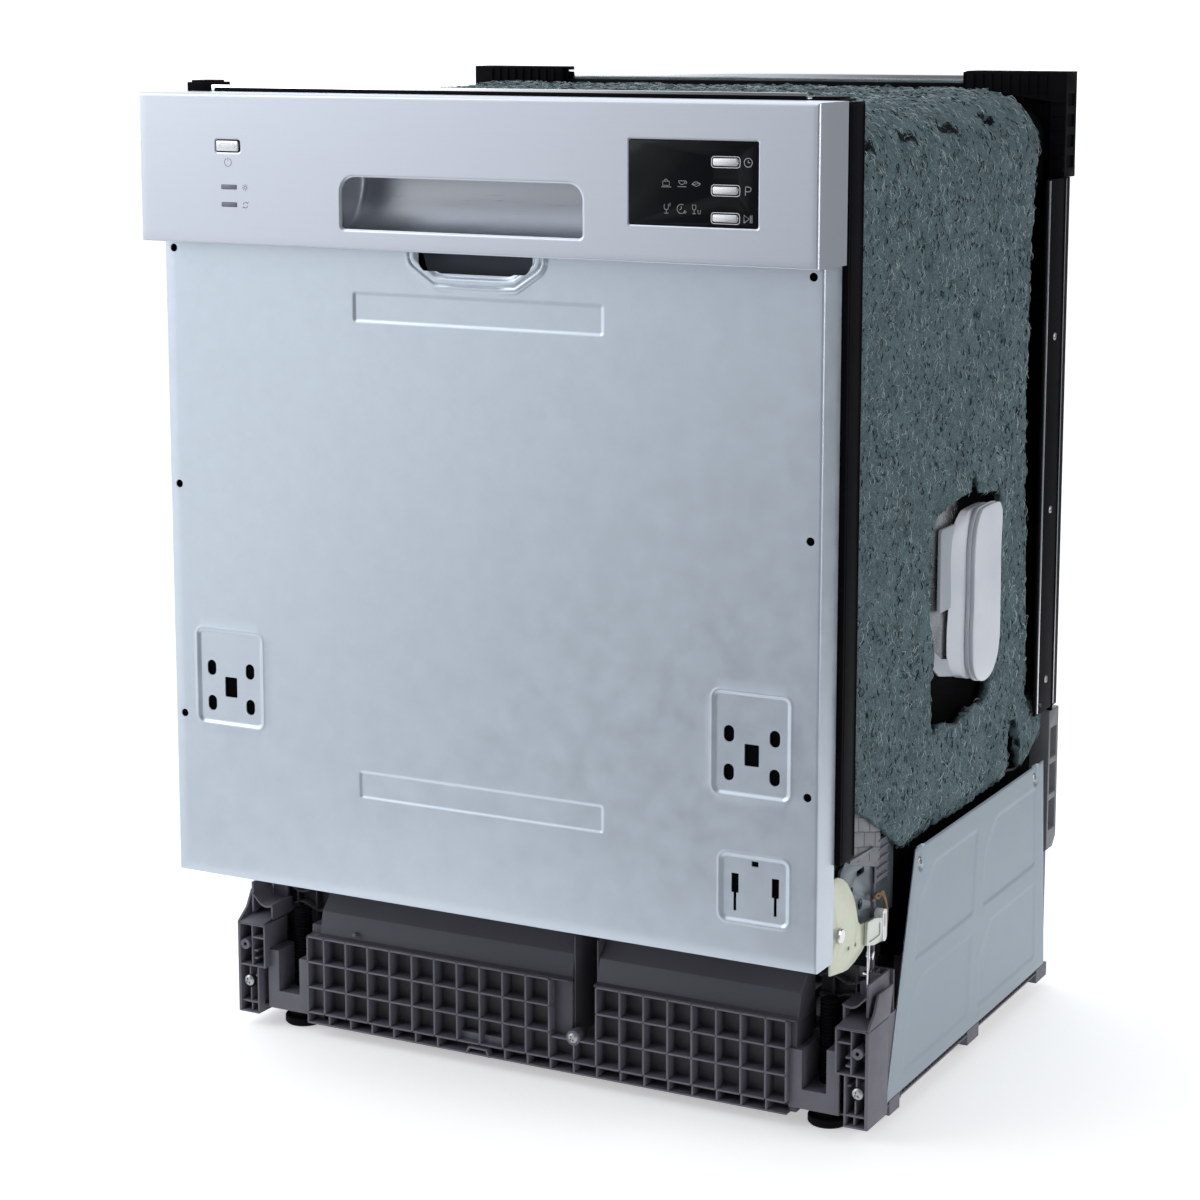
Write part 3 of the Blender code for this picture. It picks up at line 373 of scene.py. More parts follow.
CAD_LOOKS = {
    "panel": "control_panel",
    "stainless": "door_liner tub rack_rail_left rack_rail_right filter_plate lower_spray_arm"
                 " upper_spray_arm",
    "polished": "tub_front_rail rear_top_bar",
    "zinc": "outer_door_panel",
    "side_zinc": "side_plate_left side_plate_right",
    "green": "hinge_arm_left hinge_arm_right",
    "dark_steel": "hinge_bracket_left hinge_bracket_right",
    "black": "side_strip_left side_strip_right rear_post_left rear_post_right rear_cap_left"
             " rear_cap_right door_latch drain_pump foot_front_left foot_front_right"
             " foot_rear_left foot_rear_right",
    "gloss": "control_window",
    "grey": "base_tray base_column_left base_column_right rear_upright_left rear_upright_right",
    "rack_grey": "detergent_dispenser dispenser_lid sump filter_cup cutlery_basket"
                 " circulation_pump",
    "white": "softener_tank inlet_valve feed_pipe rack_wheel_front_left rack_wheel_front_right"
             " rack_wheel_rear_left rack_wheel_rear_right",
    "milky": "breather",
    "key": "power_button timer_button program_button start_button",
    "cup": "handle_cup",
    "lens": "indicator_lenses",
    "felt": "insulation_felt",
    "rubber": "door_seal",
    "wire": "upper_rack lower_rack",
    "blue": "rinse_aid_cap",
}


def dress_cad():
    """Puts each CAD node's look in its material slot."""
    for look, names in CAD_LOOKS.items():
        for name in names.split():
            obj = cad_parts[name]
            obj.data.materials.clear()
            obj.data.materials.append(MATERIALS[look])


# ------------------------------------------------------------------ mesh helpers

def mesh_from(bm, name, recalculate=True):
    if recalculate:
        bmesh.ops.recalc_face_normals(bm, faces=bm.faces)
    mesh = bpy.data.meshes.new(name)
    bm.to_mesh(mesh)
    bm.free()
    return mesh


def baked(obj, remove=True):
    """The mesh of an object with its modifiers applied; the object is dropped unless kept."""
    graph = bpy.context.evaluated_depsgraph_get()
    mesh = bpy.data.meshes.new_from_object(obj.evaluated_get(graph))
    if remove:
        bpy.data.objects.remove(obj)
    return mesh


def thickened(mesh, thick, offset):
    """A surface made solid: offset 0 grows both ways, -1 only against its normals."""
    obj = linked("surface", mesh)
    shell = obj.modifiers.new("thickness", "SOLIDIFY")
    shell.thickness, shell.offset = thick * MM, offset
    return baked(obj)


def piece(name, source, look, body, replaces=(), bevel=0.0, steps=2, angle=38.0,
          cut=None, crossed=True):
    """Adds a finished piece: openings cut, edges rounded, normals smoothed, riding on a body."""
    mesh = mesh_from(source, name) if isinstance(source, bmesh.types.BMesh) else source
    obj = linked(name, mesh)
    if cut is not None:
        tool = linked(name + "_cutter", mesh_from(cut, name + "_cutter"))
        step = obj.modifiers.new("cut", "BOOLEAN")
        step.operation, step.solver, step.object = "DIFFERENCE", "EXACT", tool
        step.use_self = crossed
    if bevel:
        edge = obj.modifiers.new("bevel", "BEVEL")
        edge.width, edge.segments = bevel * MM, steps
        edge.limit_method, edge.angle_limit = "ANGLE", math.radians(32)
        edge.use_clamp_overlap = True
    if cut is not None or bevel:
        obj.data = baked(obj, remove=False)
        obj.modifiers.clear()
        if cut is not None:
            bpy.data.objects.remove(tool)
    obj.data.name = name
    obj.data.materials.clear()
    obj.data.materials.append(MATERIALS[look])
    for polygon in obj.data.polygons:
        polygon.use_smooth = True
    obj.data.set_sharp_from_angle(angle=math.radians(angle))
    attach(obj, body)
    if replaces:
        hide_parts(*replaces)
    return obj


def refined(node, look, body, bevel, steps=2, name=None):
    """A CAD solid copied with its edges rounded, standing in for the plain one."""
    bm = bmesh.new()
    bm.from_mesh(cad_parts[node].data)
    bmesh.ops.remove_doubles(bm, verts=bm.verts, dist=0.000005)
    bmesh.ops.dissolve_limit(bm, angle_limit=math.radians(1.0), verts=bm.verts, edges=bm.edges)
    piece(name or node + "_skin", bm, look, body, replaces=(node,), bevel=bevel, steps=steps)


def block(bm, x0, x1, y0, y1, z0, z1, draft=0.0):
    """A closed box; draft makes its rear face that much larger than its front face."""
    front = [(x0, z0), (x1, z0), (x1, z1), (x0, z1)]
    rear = [(x0 - draft, z0 - draft), (x1 + draft, z0 - draft),
            (x1 + draft, z1 + draft), (x0 - draft, z1 + draft)]
    a = [bm.verts.new(at(x, y0, z)) for x, z in front]
    b = [bm.verts.new(at(x, y1, z)) for x, z in rear]
    bm.faces.new(a)
    bm.faces.new(b[::-1])
    for i in range(4):
        j = (i + 1) % 4
        bm.faces.new((a[j], a[i], b[i], b[j]))


def spot(axis, u, v, w):
    """A point from two plan coordinates and a height along an axis."""
    return at(w, u, v) if axis == "X" else at(u, w, v) if axis == "Y" else at(u, v, w)


def stitch(bm, a, b):
    """Joins two closed loops of the same length with a band of faces."""
    for i in range(len(a)):
        j = (i + 1) % len(a)
        bm.faces.new((a[i], a[j], b[j], b[i]))


def skin_over(bm, grid):
    """Covers rows of points with faces."""
    for a, b in zip(grid, grid[1:]):
        for i in range(len(a) - 1):
            bm.faces.new((a[i], a[i + 1], b[i + 1], b[i]))


def prism(bm, outline, axis, lo, hi):
    """A straight prism: (y, z) outline along X, (x, z) along Y or (x, y) along Z."""
    a = [bm.verts.new(spot(axis, u, v, lo)) for u, v in outline]
    b = [bm.verts.new(spot(axis, u, v, hi)) for u, v in outline]
    bm.faces.new(a[::-1])
    bm.faces.new(b)
    stitch(bm, a, b)


def around(u, v, radius, count):
    """Points spaced evenly on a circle."""
    return [(u + radius * math.cos(math.tau * i / count),
             v + radius * math.sin(math.tau * i / count)) for i in range(count)]


def drum(bm, u, v, radius, axis, lo, hi, sides=24):
    prism(bm, around(u, v, radius, sides), axis, lo, hi)


def spans(side):
    """A function that orders two distances from the middle plane as X limits on one side."""
    return lambda a, b: sorted((side * a, side * b))


def flipped_heights(side, profile):
    """A lathe profile whose heights point out from the middle plane on a side."""
    return [(radius, side * height) for radius, height in profile]


def flipped(side, outline):
    """An outline drawn for the right hand side, moved to a side."""
    return [(side * u, v) for u, v in outline]


def lathe(bm, centre, profile, axis, sides):
    """Turns (radius, height) points about an axis through a centre in millimetres."""
    rings = []
    for radius, height in profile:
        loop = []
        for i in range(sides if radius > 0.001 else 1):
            a = math.tau * i / sides
            c, s = radius * math.cos(a), radius * math.sin(a)
            x, y, z = centre
            if axis == "Z":
                loop.append(bm.verts.new(at(x + c, y + s, z + height)))
            elif axis == "Y":
                loop.append(bm.verts.new(at(x + c, y + height, z + s)))
            else:
                loop.append(bm.verts.new(at(x + height, y + c, z + s)))
        rings.append(loop)
    for a, b in zip(rings, rings[1:]):
        if len(a) > 1 and len(b) > 1:
            stitch(bm, a, b)
            continue
        for i in range(sides):
            j = (i + 1) % sides
            if len(a) > 1:
                bm.faces.new((a[i], a[j], b[0]))
            elif len(b) > 1:
                bm.faces.new((a[0], b[j], b[i]))


def rounded(u0, u1, v0, v1, radii, steps=6):
    """A rounded rectangle; radii run from the lower left corner anticlockwise, or one for all."""
    points = []
    radii = radii if isinstance(radii, tuple) else (radii,) * 4
    corners = ((u0, v0, 180), (u1, v0, 270), (u1, v1, 0), (u0, v1, 90))
    for (u, v, start), r in zip(corners, radii):
        cu = u + r if u == u0 else u - r
        cv = v + r if v == v0 else v - r
        for i in range(steps + 1 if r > 0 else 1):
            a = math.radians(start + 90 * i / steps)
            points.append((cu + r * math.cos(a), cv + r * math.sin(a)))
    return points


def tube_mesh(name, runs, radius, cyclic=False, sides=2):
    """Round bars along smooth or straight runs of points in millimetres."""
    curve = bpy.data.curves.new(name, "CURVE")
    curve.dimensions = "3D"
    curve.bevel_depth, curve.bevel_resolution = radius * MM, sides
    curve.use_fill_caps = True
    for run in runs:
        spline = curve.splines.new("POLY")
        spline.points.add(len(run) - 1)
        for point, (x, y, z) in zip(spline.points, run):
            point.co = (*at(x, y, z), 1.0)
        spline.use_cyclic_u = cyclic
    return baked(linked(name, curve))


def smooth_run(points, steps=6):
    """A rounded path through points, as a Catmull-Rom curve."""
    p = [Vector(q) for q in points]
    p = [p[0] * 2 - p[1]] + p + [p[-1] * 2 - p[-2]]
    out = []
    for i in range(1, len(p) - 2):
        for k in range(steps):
            t = k / steps
            a, b, c, d = p[i - 1], p[i], p[i + 1], p[i + 2]
            out.append(0.5 * ((2 * b) + (c - a) * t + (2 * a - 5 * b + 4 * c - d) * t * t
                              + (3 * b - a - 3 * c + d) * t ** 3))
    out.append(p[-2])
    return [tuple(q) for q in out]


def arc(u, v, radius, start, stop, steps, squash=1.0):
    """Points along a circle from one angle to another, in degrees."""
    return [(u + radius * math.cos(math.radians(start + (stop - start) * i / steps)),
             v + radius * squash * math.sin(math.radians(start + (stop - start) * i / steps)))
            for i in range(steps + 1)]


def ramp(value, low, high):
    """A smooth step from 0 at low to 1 at high."""
    t = min(1.0, max(0.0, (value - low) / (high - low)))
    return t * t * (3 - 2 * t)


def inside_box(u, v, box, radius):
    """Signed distance into a rounded rectangle, positive inside."""
    u0, u1, v0, v1 = box
    dx = abs(u - (u0 + u1) / 2) - (u1 - u0) / 2 + radius
    dy = abs(v - (v0 + v1) / 2) - (v1 - v0) / 2 + radius
    outside = math.hypot(max(dx, 0), max(dy, 0))
    return radius - outside - min(max(dx, dy), 0.0)


def inside_shape(u, v, points, radius=0.0):
    """Signed distance into a polygon grown by a radius, positive inside."""
    best, within = 1e9, False
    for (ax, ay), (bx, by) in zip(points, points[1:] + points[:1]):
        ex, ey = bx - ax, by - ay
        t = ((u - ax) * ex + (v - ay) * ey) / (ex * ex + ey * ey)
        t = min(1.0, max(0.0, t))
        best = min(best, math.hypot(u - ax - ex * t, v - ay - ey * t))
        if (ay > v) != (by > v) and u < ax + (v - ay) * ex / (by - ay):
            within = not within
    return (best if within else -best) + radius


def lines_near(start, stop, coarse, marks, fine, reach):
    """Grid lines from start to stop, close together within reach of each mark."""
    out, here = [start], start
    while here < stop - 1e-6:
        near = any(abs(here - m) < reach for m in marks)
        gap = min((abs(here - m) - reach for m in marks if m > here), default=coarse)
        step = fine if near else min(coarse, max(fine, gap))
        here = min(stop, here + step)
        if stop - here < fine * 0.4:
            here = stop
        out.append(here)
    return out


def folded_sheet(half, z0, z1, y0, y1, xs, zs, bend, height, fold_top=True, thick=1.0):
    """A pressed sheet facing the front, its borders folded back round a bend radius."""
    deep = y1 - y0

    def profile(inner, lo, hi, fold_hi=True):
        """Places along one direction: how far across, how far back, and whether it is the face."""
        turn = [math.radians(15 * i) for i in range(6)]
        rows = [(lo, deep, 0), (lo, deep * 0.55, 0)]
        rows += [(lo + bend - bend * math.cos(a), bend - bend * math.sin(a), 0) for a in turn]
        rows += [(v, 0.0, 1) for v in inner]
        if fold_hi:
            turn.reverse()
            rows += [(hi - bend + bend * math.cos(a), bend - bend * math.sin(a), 0) for a in turn]
            rows += [(hi, deep * 0.55, 0), (hi, deep, 0)]
        return rows
    across = profile([x for x in xs if abs(x) <= half - bend], -half, half)
    low, high = z0 + bend, z1 - (bend if fold_top else 0)
    upward = profile([z for z in zs if low <= z <= high], z0, z1, fold_top)
    bm = bmesh.new()
    grid = []
    for x, back_x, flat_x in across:
        column = []
        for z, back_z, flat_z in upward:
            lift = height(x, z) if flat_x and flat_z else 0.0
            column.append(bm.verts.new(at(x, y0 + max(back_x, back_z) - lift, z)))
        grid.append(column)
    for i in range(len(across) - 1):
        for j in range(len(upward) - 1):
            sides = across[i][1] + across[i + 1][1]
            ends = upward[j][1] + upward[j + 1][1]
            if sides > 2 * bend and ends > 2 * bend:
                continue
            bm.faces.new((grid[i][j], grid[i + 1][j], grid[i + 1][j + 1], grid[i][j + 1]))
    bmesh.ops.remove_doubles(bm, verts=bm.verts, dist=0.00002)
    loose = [v for v in bm.verts if not v.link_faces]
    bmesh.ops.delete(bm, geom=loose, context="VERTS")
    bmesh.ops.recalc_face_normals(bm, faces=bm.faces)
    facing = sum(f.normal.y * f.calc_area() for f in bm.faces)
    if facing > 0:
        bmesh.ops.reverse_faces(bm, faces=bm.faces)
    return thickened(mesh_from(bm, "sheet", recalculate=False), thick, -1.0)


# ------------------------------------------------------------------ front of the door

PANEL_HALF, PANEL_LOW, PANEL_HIGH = 297.5, 701.0, 820.0
RECESS = (-106.0, 106.0, 717.0, 757.5)
WINDOW = (145.0, 250.0, 729.0, 792.0)
KEY_X, KEY_W, KEY_H = 223.9, 20.4, 5.6
KEY_Z = {"timer_button": 776.6, "program_button": 756.1, "start_button": 736.0}
POWER = (-211.5, 778.9, 21.0, 8.2)
LENS_X, LENS_Z = -211.0, (746.5, 732.6)


def box_at(x, z, w, h, grow=0.0):
    """The limits of a rectangle about a centre, grown all round."""
    return x - w / 2 - grow, x + w / 2 + grow, z - h / 2 - grow, z + h / 2 + grow


def recess_depth(x, z):
    """How far a point is inside the handle opening, with large upper and small lower corners."""
    radius = 12.0 if z > 737 else 3.0
    return inside_box(x, z, RECESS, radius)


def panel_height(x, z):
    """The skin rolls in at the handle opening and dips at the window and the power key."""
    roll = -1.3 * ramp(recess_depth(x, z), -1.8, 0.4)
    window = -0.5 * ramp(inside_box(x, z, WINDOW, 1.5), -0.9, 0.0)
    return roll + window - 0.45 * ramp(inside_box(x, z, box_at(*POWER, 0.9), 1.8), -1.1, 0.0)


def make_panel():
    frame_box, fold = box_at(*POWER, 1), 2.0
    marks_x = [RECESS[0] + 5, RECESS[0], RECESS[1] - 5, RECESS[1], *WINDOW[:2], *frame_box[:2]]
    marks_z = [RECESS[2], RECESS[3] - 5, RECESS[3], *WINDOW[2:], *frame_box[2:]]
    xs = lines_near(fold - PANEL_HALF, PANEL_HALF - fold, 6.0, sorted(marks_x), 0.6, 4.5)
    zs = lines_near(PANEL_LOW + fold, PANEL_HIGH - fold, 5.0, sorted(marks_z), 0.6, 4.5)
    skin = folded_sheet(PANEL_HALF, PANEL_LOW, PANEL_HIGH, 0.0, 52.0, xs, zs, fold, panel_height,
                        thick=1.6)
    cut = bmesh.new()
    prism(cut, rounded(*RECESS, (3, 3, 12, 12)), "Y", -4, 6)
    prism(cut, rounded(*WINDOW, 1.5, 2), "Y", -4, 6)
    prism(cut, rounded(*box_at(*POWER, 0.7), 1.8, 3), "Y", -4, 6)
    for z in LENS_Z:
        prism(cut, rounded(LENS_X - 7.5, LENS_X + 7.5, z - 1.9, z + 1.9, 0.5, 2), "Y", -4, 6)
    block(cut, -294, 294, 22.5, 60, 698, 706)
    piece("panel_skin", skin, "panel", "door", replaces=("control_panel",), cut=cut, angle=30,
          crossed=False)


def make_handle_cup():
    """Finger recess: deep behind its top edge, sweeping forward to the lower lip."""
    edge_y, edge_z, deep, tall = 2.2, 761.0, 32.0, 44.6

    def scoop(x, a, grow):
        return at(x, edge_y + (deep + grow) * math.cos(a), edge_z - (tall + grow) * math.sin(a))
    bm = bmesh.new()
    ends = [103, 105, 106.2, 106.5]
    xs = [-x for x in reversed(ends)] + [-100 + 10 * i for i in range(21)] + ends
    angles = [math.radians(3.5 * i) for i in range(26)]
    grid = []
    for x in xs:
        edge = max(0.0, abs(x) - 103.0) / 3.5
        shrink = -3.0 * (1 - math.sqrt(max(0.0, 1 - edge * edge)))
        grid.append([bm.verts.new(scoop(x, a, shrink)) for a in angles])
    skin_over(bm, grid)
    for column, flip in ((grid[0], 1), (grid[-1], -1)):
        x = column[0].co.x / MM
        hub = bm.verts.new(at(x, edge_y, edge_z))
        for a, b in zip(column, column[1:]):
            bm.faces.new((a, hub, b)[::flip])
    top = [grid[i][0] for i in range(len(xs))]
    front = [bm.verts.new(at(x, edge_y, edge_z)) for x in xs]
    for i in range(len(xs) - 1):
        bm.faces.new((top[i], top[i + 1], front[i + 1], front[i]))
    bmesh.ops.remove_doubles(bm, verts=bm.verts, dist=0.00002)
    solid = thickened(mesh_from(bm, "cup"), 1.1, 0.0)
    piece("handle_recess", solid, "cup", "door", replaces=("handle_cup",), angle=50)


def soft_key(name, x, z, w, h, face_y, corner=1.6):
    """A key cap that rides on the body it is named after."""
    bm = bmesh.new()
    prism(bm, rounded(*box_at(x, z, w, h), corner, 4), "Y", face_y, 4.0)
    piece(name + "_cap", bm, "key", name, replaces=(name,), bevel=0.55, steps=3, angle=45)


def strokes(name, look, runs, y, radius):
    """Printed marks: thin rounded lines standing a hair above the face they are on."""
    mesh = tube_mesh(name, [[(x, y, z) for x, z in run] for run in runs], radius, sides=1)
    for vert in mesh.vertices:
        vert.co.y = at(0, y, 0).y + (vert.co.y - at(0, y, 0).y) * 0.45
    piece(name, mesh, look, "door", angle=60)


def make_window_and_keys():
    bm = bmesh.new()
    prism(bm, rounded(WINDOW[0] + 0.35, WINDOW[1] - 0.35, WINDOW[2] + 0.35, WINDOW[3] - 0.35,
                      1.2, 3), "Y", 0.15, 3.2)
    cut = bmesh.new()
    frames = bmesh.new()
    for z in KEY_Z.values():
        inner = rounded(*box_at(KEY_X, z, KEY_W, KEY_H, 0.9), 2.0, 4)
        outer = rounded(*box_at(KEY_X, z, KEY_W, KEY_H, 1.45), 2.5, 4)
        prism(cut, inner, "Y", -3, 6)
        frame_ring(frames, outer, inner, -0.18, 0.6)
    piece("window_glass", bm, "gloss", "door", replaces=("control_window",), cut=cut, bevel=0.25)
    piece("key_frames", frames, "key", "door", angle=50)
    for name, z in KEY_Z.items():
        soft_key(name, KEY_X, z, KEY_W, KEY_H, -0.9)
    px, pz = POWER[:2]
    soft_key("power_button", *POWER, -1.0, 1.2)
    bm = bmesh.new()
    frame_ring(bm, rounded(px - 7.2, px + 7.4, pz - 2.1, pz + 2.1, 2.0, 4),
               rounded(px - 6.6, px + 6.8, pz - 1.5, pz + 1.5, 1.4, 4), -1.12, -0.9)
    piece("power_key_mark", bm, "panel", "power_button", angle=50)
    bm = bmesh.new()
    frame_ring(bm, rounded(*box_at(*POWER, 1.0), 2.0, 4), rounded(*box_at(*POWER, 0.25), 1.5, 4),
               0.2, 3.4)
    piece("power_key_gap", bm, "black", "door", angle=50)
    bm = bmesh.new()
    for z in LENS_Z:
        prism(bm, rounded(LENS_X - 7.3, LENS_X + 7.3, z - 1.7, z + 1.7, 0.5, 3), "Y", -0.25, 3.0)
    prism(bm, rounded(LENS_X - 10, LENS_X + 10, LENS_Z[1] - 5, LENS_Z[0] + 5, 1, 3), "Y", 2.2, 4.2)
    piece("signal_lenses", bm, "lens", "door", replaces=("indicator_lenses",), bevel=0.3)


def frame_ring(bm, outer, inner, lo, hi):
    """A flat ring between two matching outlines, facing the front."""
    loops = [[bm.verts.new(at(u, y, v)) for u, v in shape]
             for shape, y in ((outer, lo), (outer, hi), (inner, hi), (inner, lo))]
    for a, b in zip(loops, loops[1:] + loops[:1]):
        stitch(bm, a, b)


def make_symbols():
    """Generic marks: power, sun and arrows on the panel; clock, P and play by the keys."""
    x, z = LENS_X - 0.5, 766.0
    dark = [arc(x, z, 3.3, 118, 422, 18), [(x, z + 1.2), (x, z + 4.1)]]
    sx, sz = -195.5, 746.4
    dark.append(arc(sx, sz, 1.15, 0, 360, 12))
    for i in range(8):
        a = math.tau * i / 8
        dark.append([(sx + 1.9 * math.cos(a), sz + 1.9 * math.sin(a)),
                     (sx + 2.8 * math.cos(a), sz + 2.8 * math.sin(a))])
    sz = 732.6
    dark.append(arc(sx, sz + 0.8, 2.0, 20, 200, 8, 0.7))
    dark.append(arc(sx, sz - 0.8, 2.0, 200, 380, 8, 0.7))
    dark += [[(sx + 1.0, sz + 2.3), (sx + 2.1, sz + 1.5), (sx + 2.9, sz + 2.6)],
             [(sx - 1.0, sz - 2.3), (sx - 2.1, sz - 1.5), (sx - 2.9, sz - 2.6)]]
    strokes("panel_marks", "print", dark, 0.0, 0.26)
    kx = 241.6
    pale = [arc(kx, 776.6, 3.2, 0, 360, 22), [(kx, 778.4), (kx, 776.6), (kx + 1.5, 776.6)]]
    pale += [[(kx - 2.0, 753.0), (kx - 2.0, 759.2), (kx + 0.6, 759.2)],
             arc(kx + 0.6, 757.5, 1.75, 90, -90, 8), [(kx + 0.6, 755.75), (kx - 2.0, 755.75)]]
    pale += [[(kx - 3.0, 733.2), (kx - 3.0, 738.8), (kx + 1.2, 736.0), (kx - 3.0, 733.2)],
             [(kx + 2.0, 733.2), (kx + 2.0, 738.8)], [(kx + 3.3, 733.2), (kx + 3.3, 738.8)]]
    strokes("key_marks", "icon", pale, 0.15, 0.3)
    row = []
    x = 176.0                                                             # cooking pot
    row += [[(x - 3, 761), (x - 3, 758.6), (x + 2.4, 758.6), (x + 2.4, 761.6), (x - 3.4, 761.6)],
            [(x - 4, 757.5), (x + 4, 757.5)], arc(x - 0.3, 761.8, 1.3, 0, 180, 6)]
    x = 188.6                                                             # cup and saucer
    row += [[(x - 2.6, 762.2), (x + 2.6, 762.2)], arc(x, 762.2, 2.6, 180, 360, 10),
            [(x - 3.6, 758.0), (x + 3.6, 758.0)], arc(x + 2.9, 761.2, 1.0, -90, 90, 6)]
    x = 200.2                                                             # leaf
    row += [arc(x, 758.4, 3.4, 20, 160, 8), arc(x, 762.0, 3.4, 200, 340, 8),
            [(x - 3.6, 759.6), (x + 2.0, 760.6)]]
    x = 176.0                                                             # glass with steam
    row += [arc(x, 742.6, 1.8, 180, 360, 8), [(x - 1.8, 742.6), (x - 1.6, 745.0)],
            [(x + 1.8, 742.6), (x + 1.6, 745.0)], [(x, 740.8), (x, 738.4)],
            [(x - 1.7, 738.3), (x + 1.7, 738.3)], [(x + 3.0, 743.4), (x + 3.0, 745.8)]]
    x = 188.2                                                             # short clock
    row += [arc(x, 741.8, 3.4, 60, 330, 16), [(x, 744.0), (x, 741.8), (x - 1.3, 741.0)],
            arc(x + 3.0, 739.6, 0.9, 0, 360, 8)]
    x = 200.0                                                             # glass and tumbler
    row += [arc(x - 1.4, 742.8, 1.5, 180, 360, 8),
            [(x - 2.9, 742.8), (x - 2.8, 745.0), (x, 745.0), (x + 0.1, 742.8)],
            [(x - 1.4, 741.3), (x - 1.4, 738.8)], [(x - 2.8, 738.6), (x, 738.6)],
            [(x + 1.6, 741.4), (x + 1.9, 738.6), (x + 3.6, 738.6), (x + 3.9, 741.4)]]
    strokes("program_marks", "icon", row, 0.15, 0.2)


GRIP_LINE = [(-48, 740), (-48, 697), (-31, 685.5), (31, 685.5), (48, 697), (48, 740)]
GRIP_GROW = 16.0
DENTS = [(-112, 112, 253, 276.5), (-112, 112, 641.5, 666)]
SQUARES = [(-269, -205, 299, 379), (205, 269, 299, 379), (211.7, 269, 200.3, 253)]


def door_height(x, z):
    """Pressed panels, bars and the double bead round the grip."""
    lift = 0.0
    for box in DENTS:
        lift -= 0.9 * ramp(inside_box(x, z, box, 3.0), 0.0, 2.6)
    for box in SQUARES:
        depth = inside_box(x, z, box, 6.0)
        lift += 0.35 * (ramp(depth, -2.6, -0.8) - ramp(depth, -0.8, 0.6))
        lift -= 1.3 * ramp(depth, 0.0, 2.6)
    if z > 660 and abs(x) < 70:
        d = inside_shape(x, z, GRIP_LINE, GRIP_GROW)
        lift += 1.7 * ramp(d, 0.0, 2.2)
        lift -= ramp(d, 4.2, 5.2) - ramp(d, 5.2, 6.6)
        lift -= 1.6 * ramp(d, 9.6, 12.4)
    return lift


def make_door_sheet():
    marks_x = [-267, -207, -111, -60, -50, -40, 40, 50, 60, 111, 207, 214, 267]
    marks_z = [202, 251, 255, 275, 301, 377, 643, 664]
    xs = lines_near(-291, 291, 9.0, marks_x, 0.85, 4.6)
    zs = lines_near(169.5, 668, 9.0, marks_z, 0.85, 4.2) + [668.8 + 0.8 * i for i in range(53)]
    sheet = folded_sheet(292.5, 168.0, 711.0, 24.0, 55.5, xs, zs, 1.8, door_height, fold_top=False)
    cut = bmesh.new()
    for side in (-1, 1):
        for z in (694, 499, 304.5):
            drum(cut, side * 283.5, z, 3.3, "Y", 18, 32)
        for x in (218, 256):
            for z in (346, 316):
                slot = arc(side * x, z + 2.2, 4.3, 0, 180, 12)
                slot += arc(side * x, z - 2.2, 4.3, 180, 360, 12)
                prism(cut, slot, "Y", 18, 32)
        prism(cut, rounded(side * 237 - 6, side * 237 + 6, 322.5, 339.5, 0.8, 2), "Y", 18, 32)
    block(cut, 237.8, 243.4, 18, 32, 244.6, 248.8)
    for x in (224.0, 257.6):
        keyhole = [(-3, 222.3), (-1.2, 222.3), (-1.2, 208), (1.2, 208), (1.2, 222.3), (3, 222.3),
                   (3, 237.5), (-3, 237.5)]
        prism(cut, [(x + u, v) for u, v in keyhole], "Y", 18, 32)
    mouth = [(-51, 715), (-51, 697)] + arc(-38, 696, 13, 180, 236, 6)
    mouth += arc(-29, 693.5, 10, 238, 270, 5)
    mouth += flipped(-1, reversed(mouth))
    prism(cut, mouth, "Y", 14, 40)
    piece("door_skin", sheet, "zinc", "door", replaces=("outer_door_panel",), cut=cut, angle=32,
          crossed=False)
    # Black pads behind the door's holes: painted shade in the hollow door.
    bm = bmesh.new()
    for side in (-1, 1):
        prism(bm, rounded(side * 237 - 34, side * 237 + 34, 300, 378, 3), "Y", 27.5, 30.0)
        for z in (694, 499, 304.5):
            drum(bm, side * 283.5, z, 6.5, "Y", 26.5, 29.0)
    prism(bm, rounded(212, 269, 201, 252, 3), "Y", 27.5, 30.0)
    piece("door_hole_shade_pads", bm, "painted_shadow", "door", bevel=0.3)
    bm = bmesh.new()
    rows, columns = 12, 24
    places = [2 * i / columns - 1 for i in range(columns + 1)]
    grid = []
    for j in range(rows + 1):
        a = math.radians(90 * j / rows)
        z, y = 681.5 + 27 * (1 - math.cos(a)), 25.5 + 15 * math.sin(a)
        half = 39 + 15 * math.sin(a * 0.9)
        grid.append([bm.verts.new(at(half * t, y - 6 * t ** 6 * math.sin(a), z)) for t in places])
    skin_over(bm, grid)
    piece("grip_scoop", thickened(mesh_from(bm, "scoop"), 0.9, 0.0), "shade", "door",
          angle=60)


# ------------------------------------------------------------------ moulded base

GRID_ROWS = (22.0, 44.7, 67.4, 90.2)
LEFT_COLUMNS = [-227.6, -210.6] + [-210.6 + 22.24 * i for i in range(1, 11)]
RIGHT_COLUMNS = [56.0 + 21.9 * i for i in range(8)] + [227.5]
LOWER_X, LOWER_PITCH = -227.6, 21.9          # the row of open cells below both grids
FRONT_Y, CELL_Y = 117.0, 132.0
FOOT_X, FOOT_Y = 252.0, {"front": 148.0, "rear": 530.0}


def ribs(bm, us, vs, y0, y1):
    """Crossed upright ribs, thinner at their front edge."""
    w, draft = 0.85, 0.45
    for u in us:
        block(bm, u - w, u + w, y0, y1, vs[0] - w, vs[-1] + w, draft)
    for v in vs:
        block(bm, us[0] - w, us[-1] + w, y0, y1, v - w, v + w, draft)


def facet_block(bm, x0, x1):
    """The smooth nose above a grid: a ledge, a steep face and a chamfer running back."""
    prism(bm, [(118.2, 90.2), (118.2, 91.8), (125.0, 92.4), (129.0, 111.5), (145.0, 127.2),
               (158.0, 127.2), (158.0, 88.0), (126.0, 88.0)], "X", x0, x1)


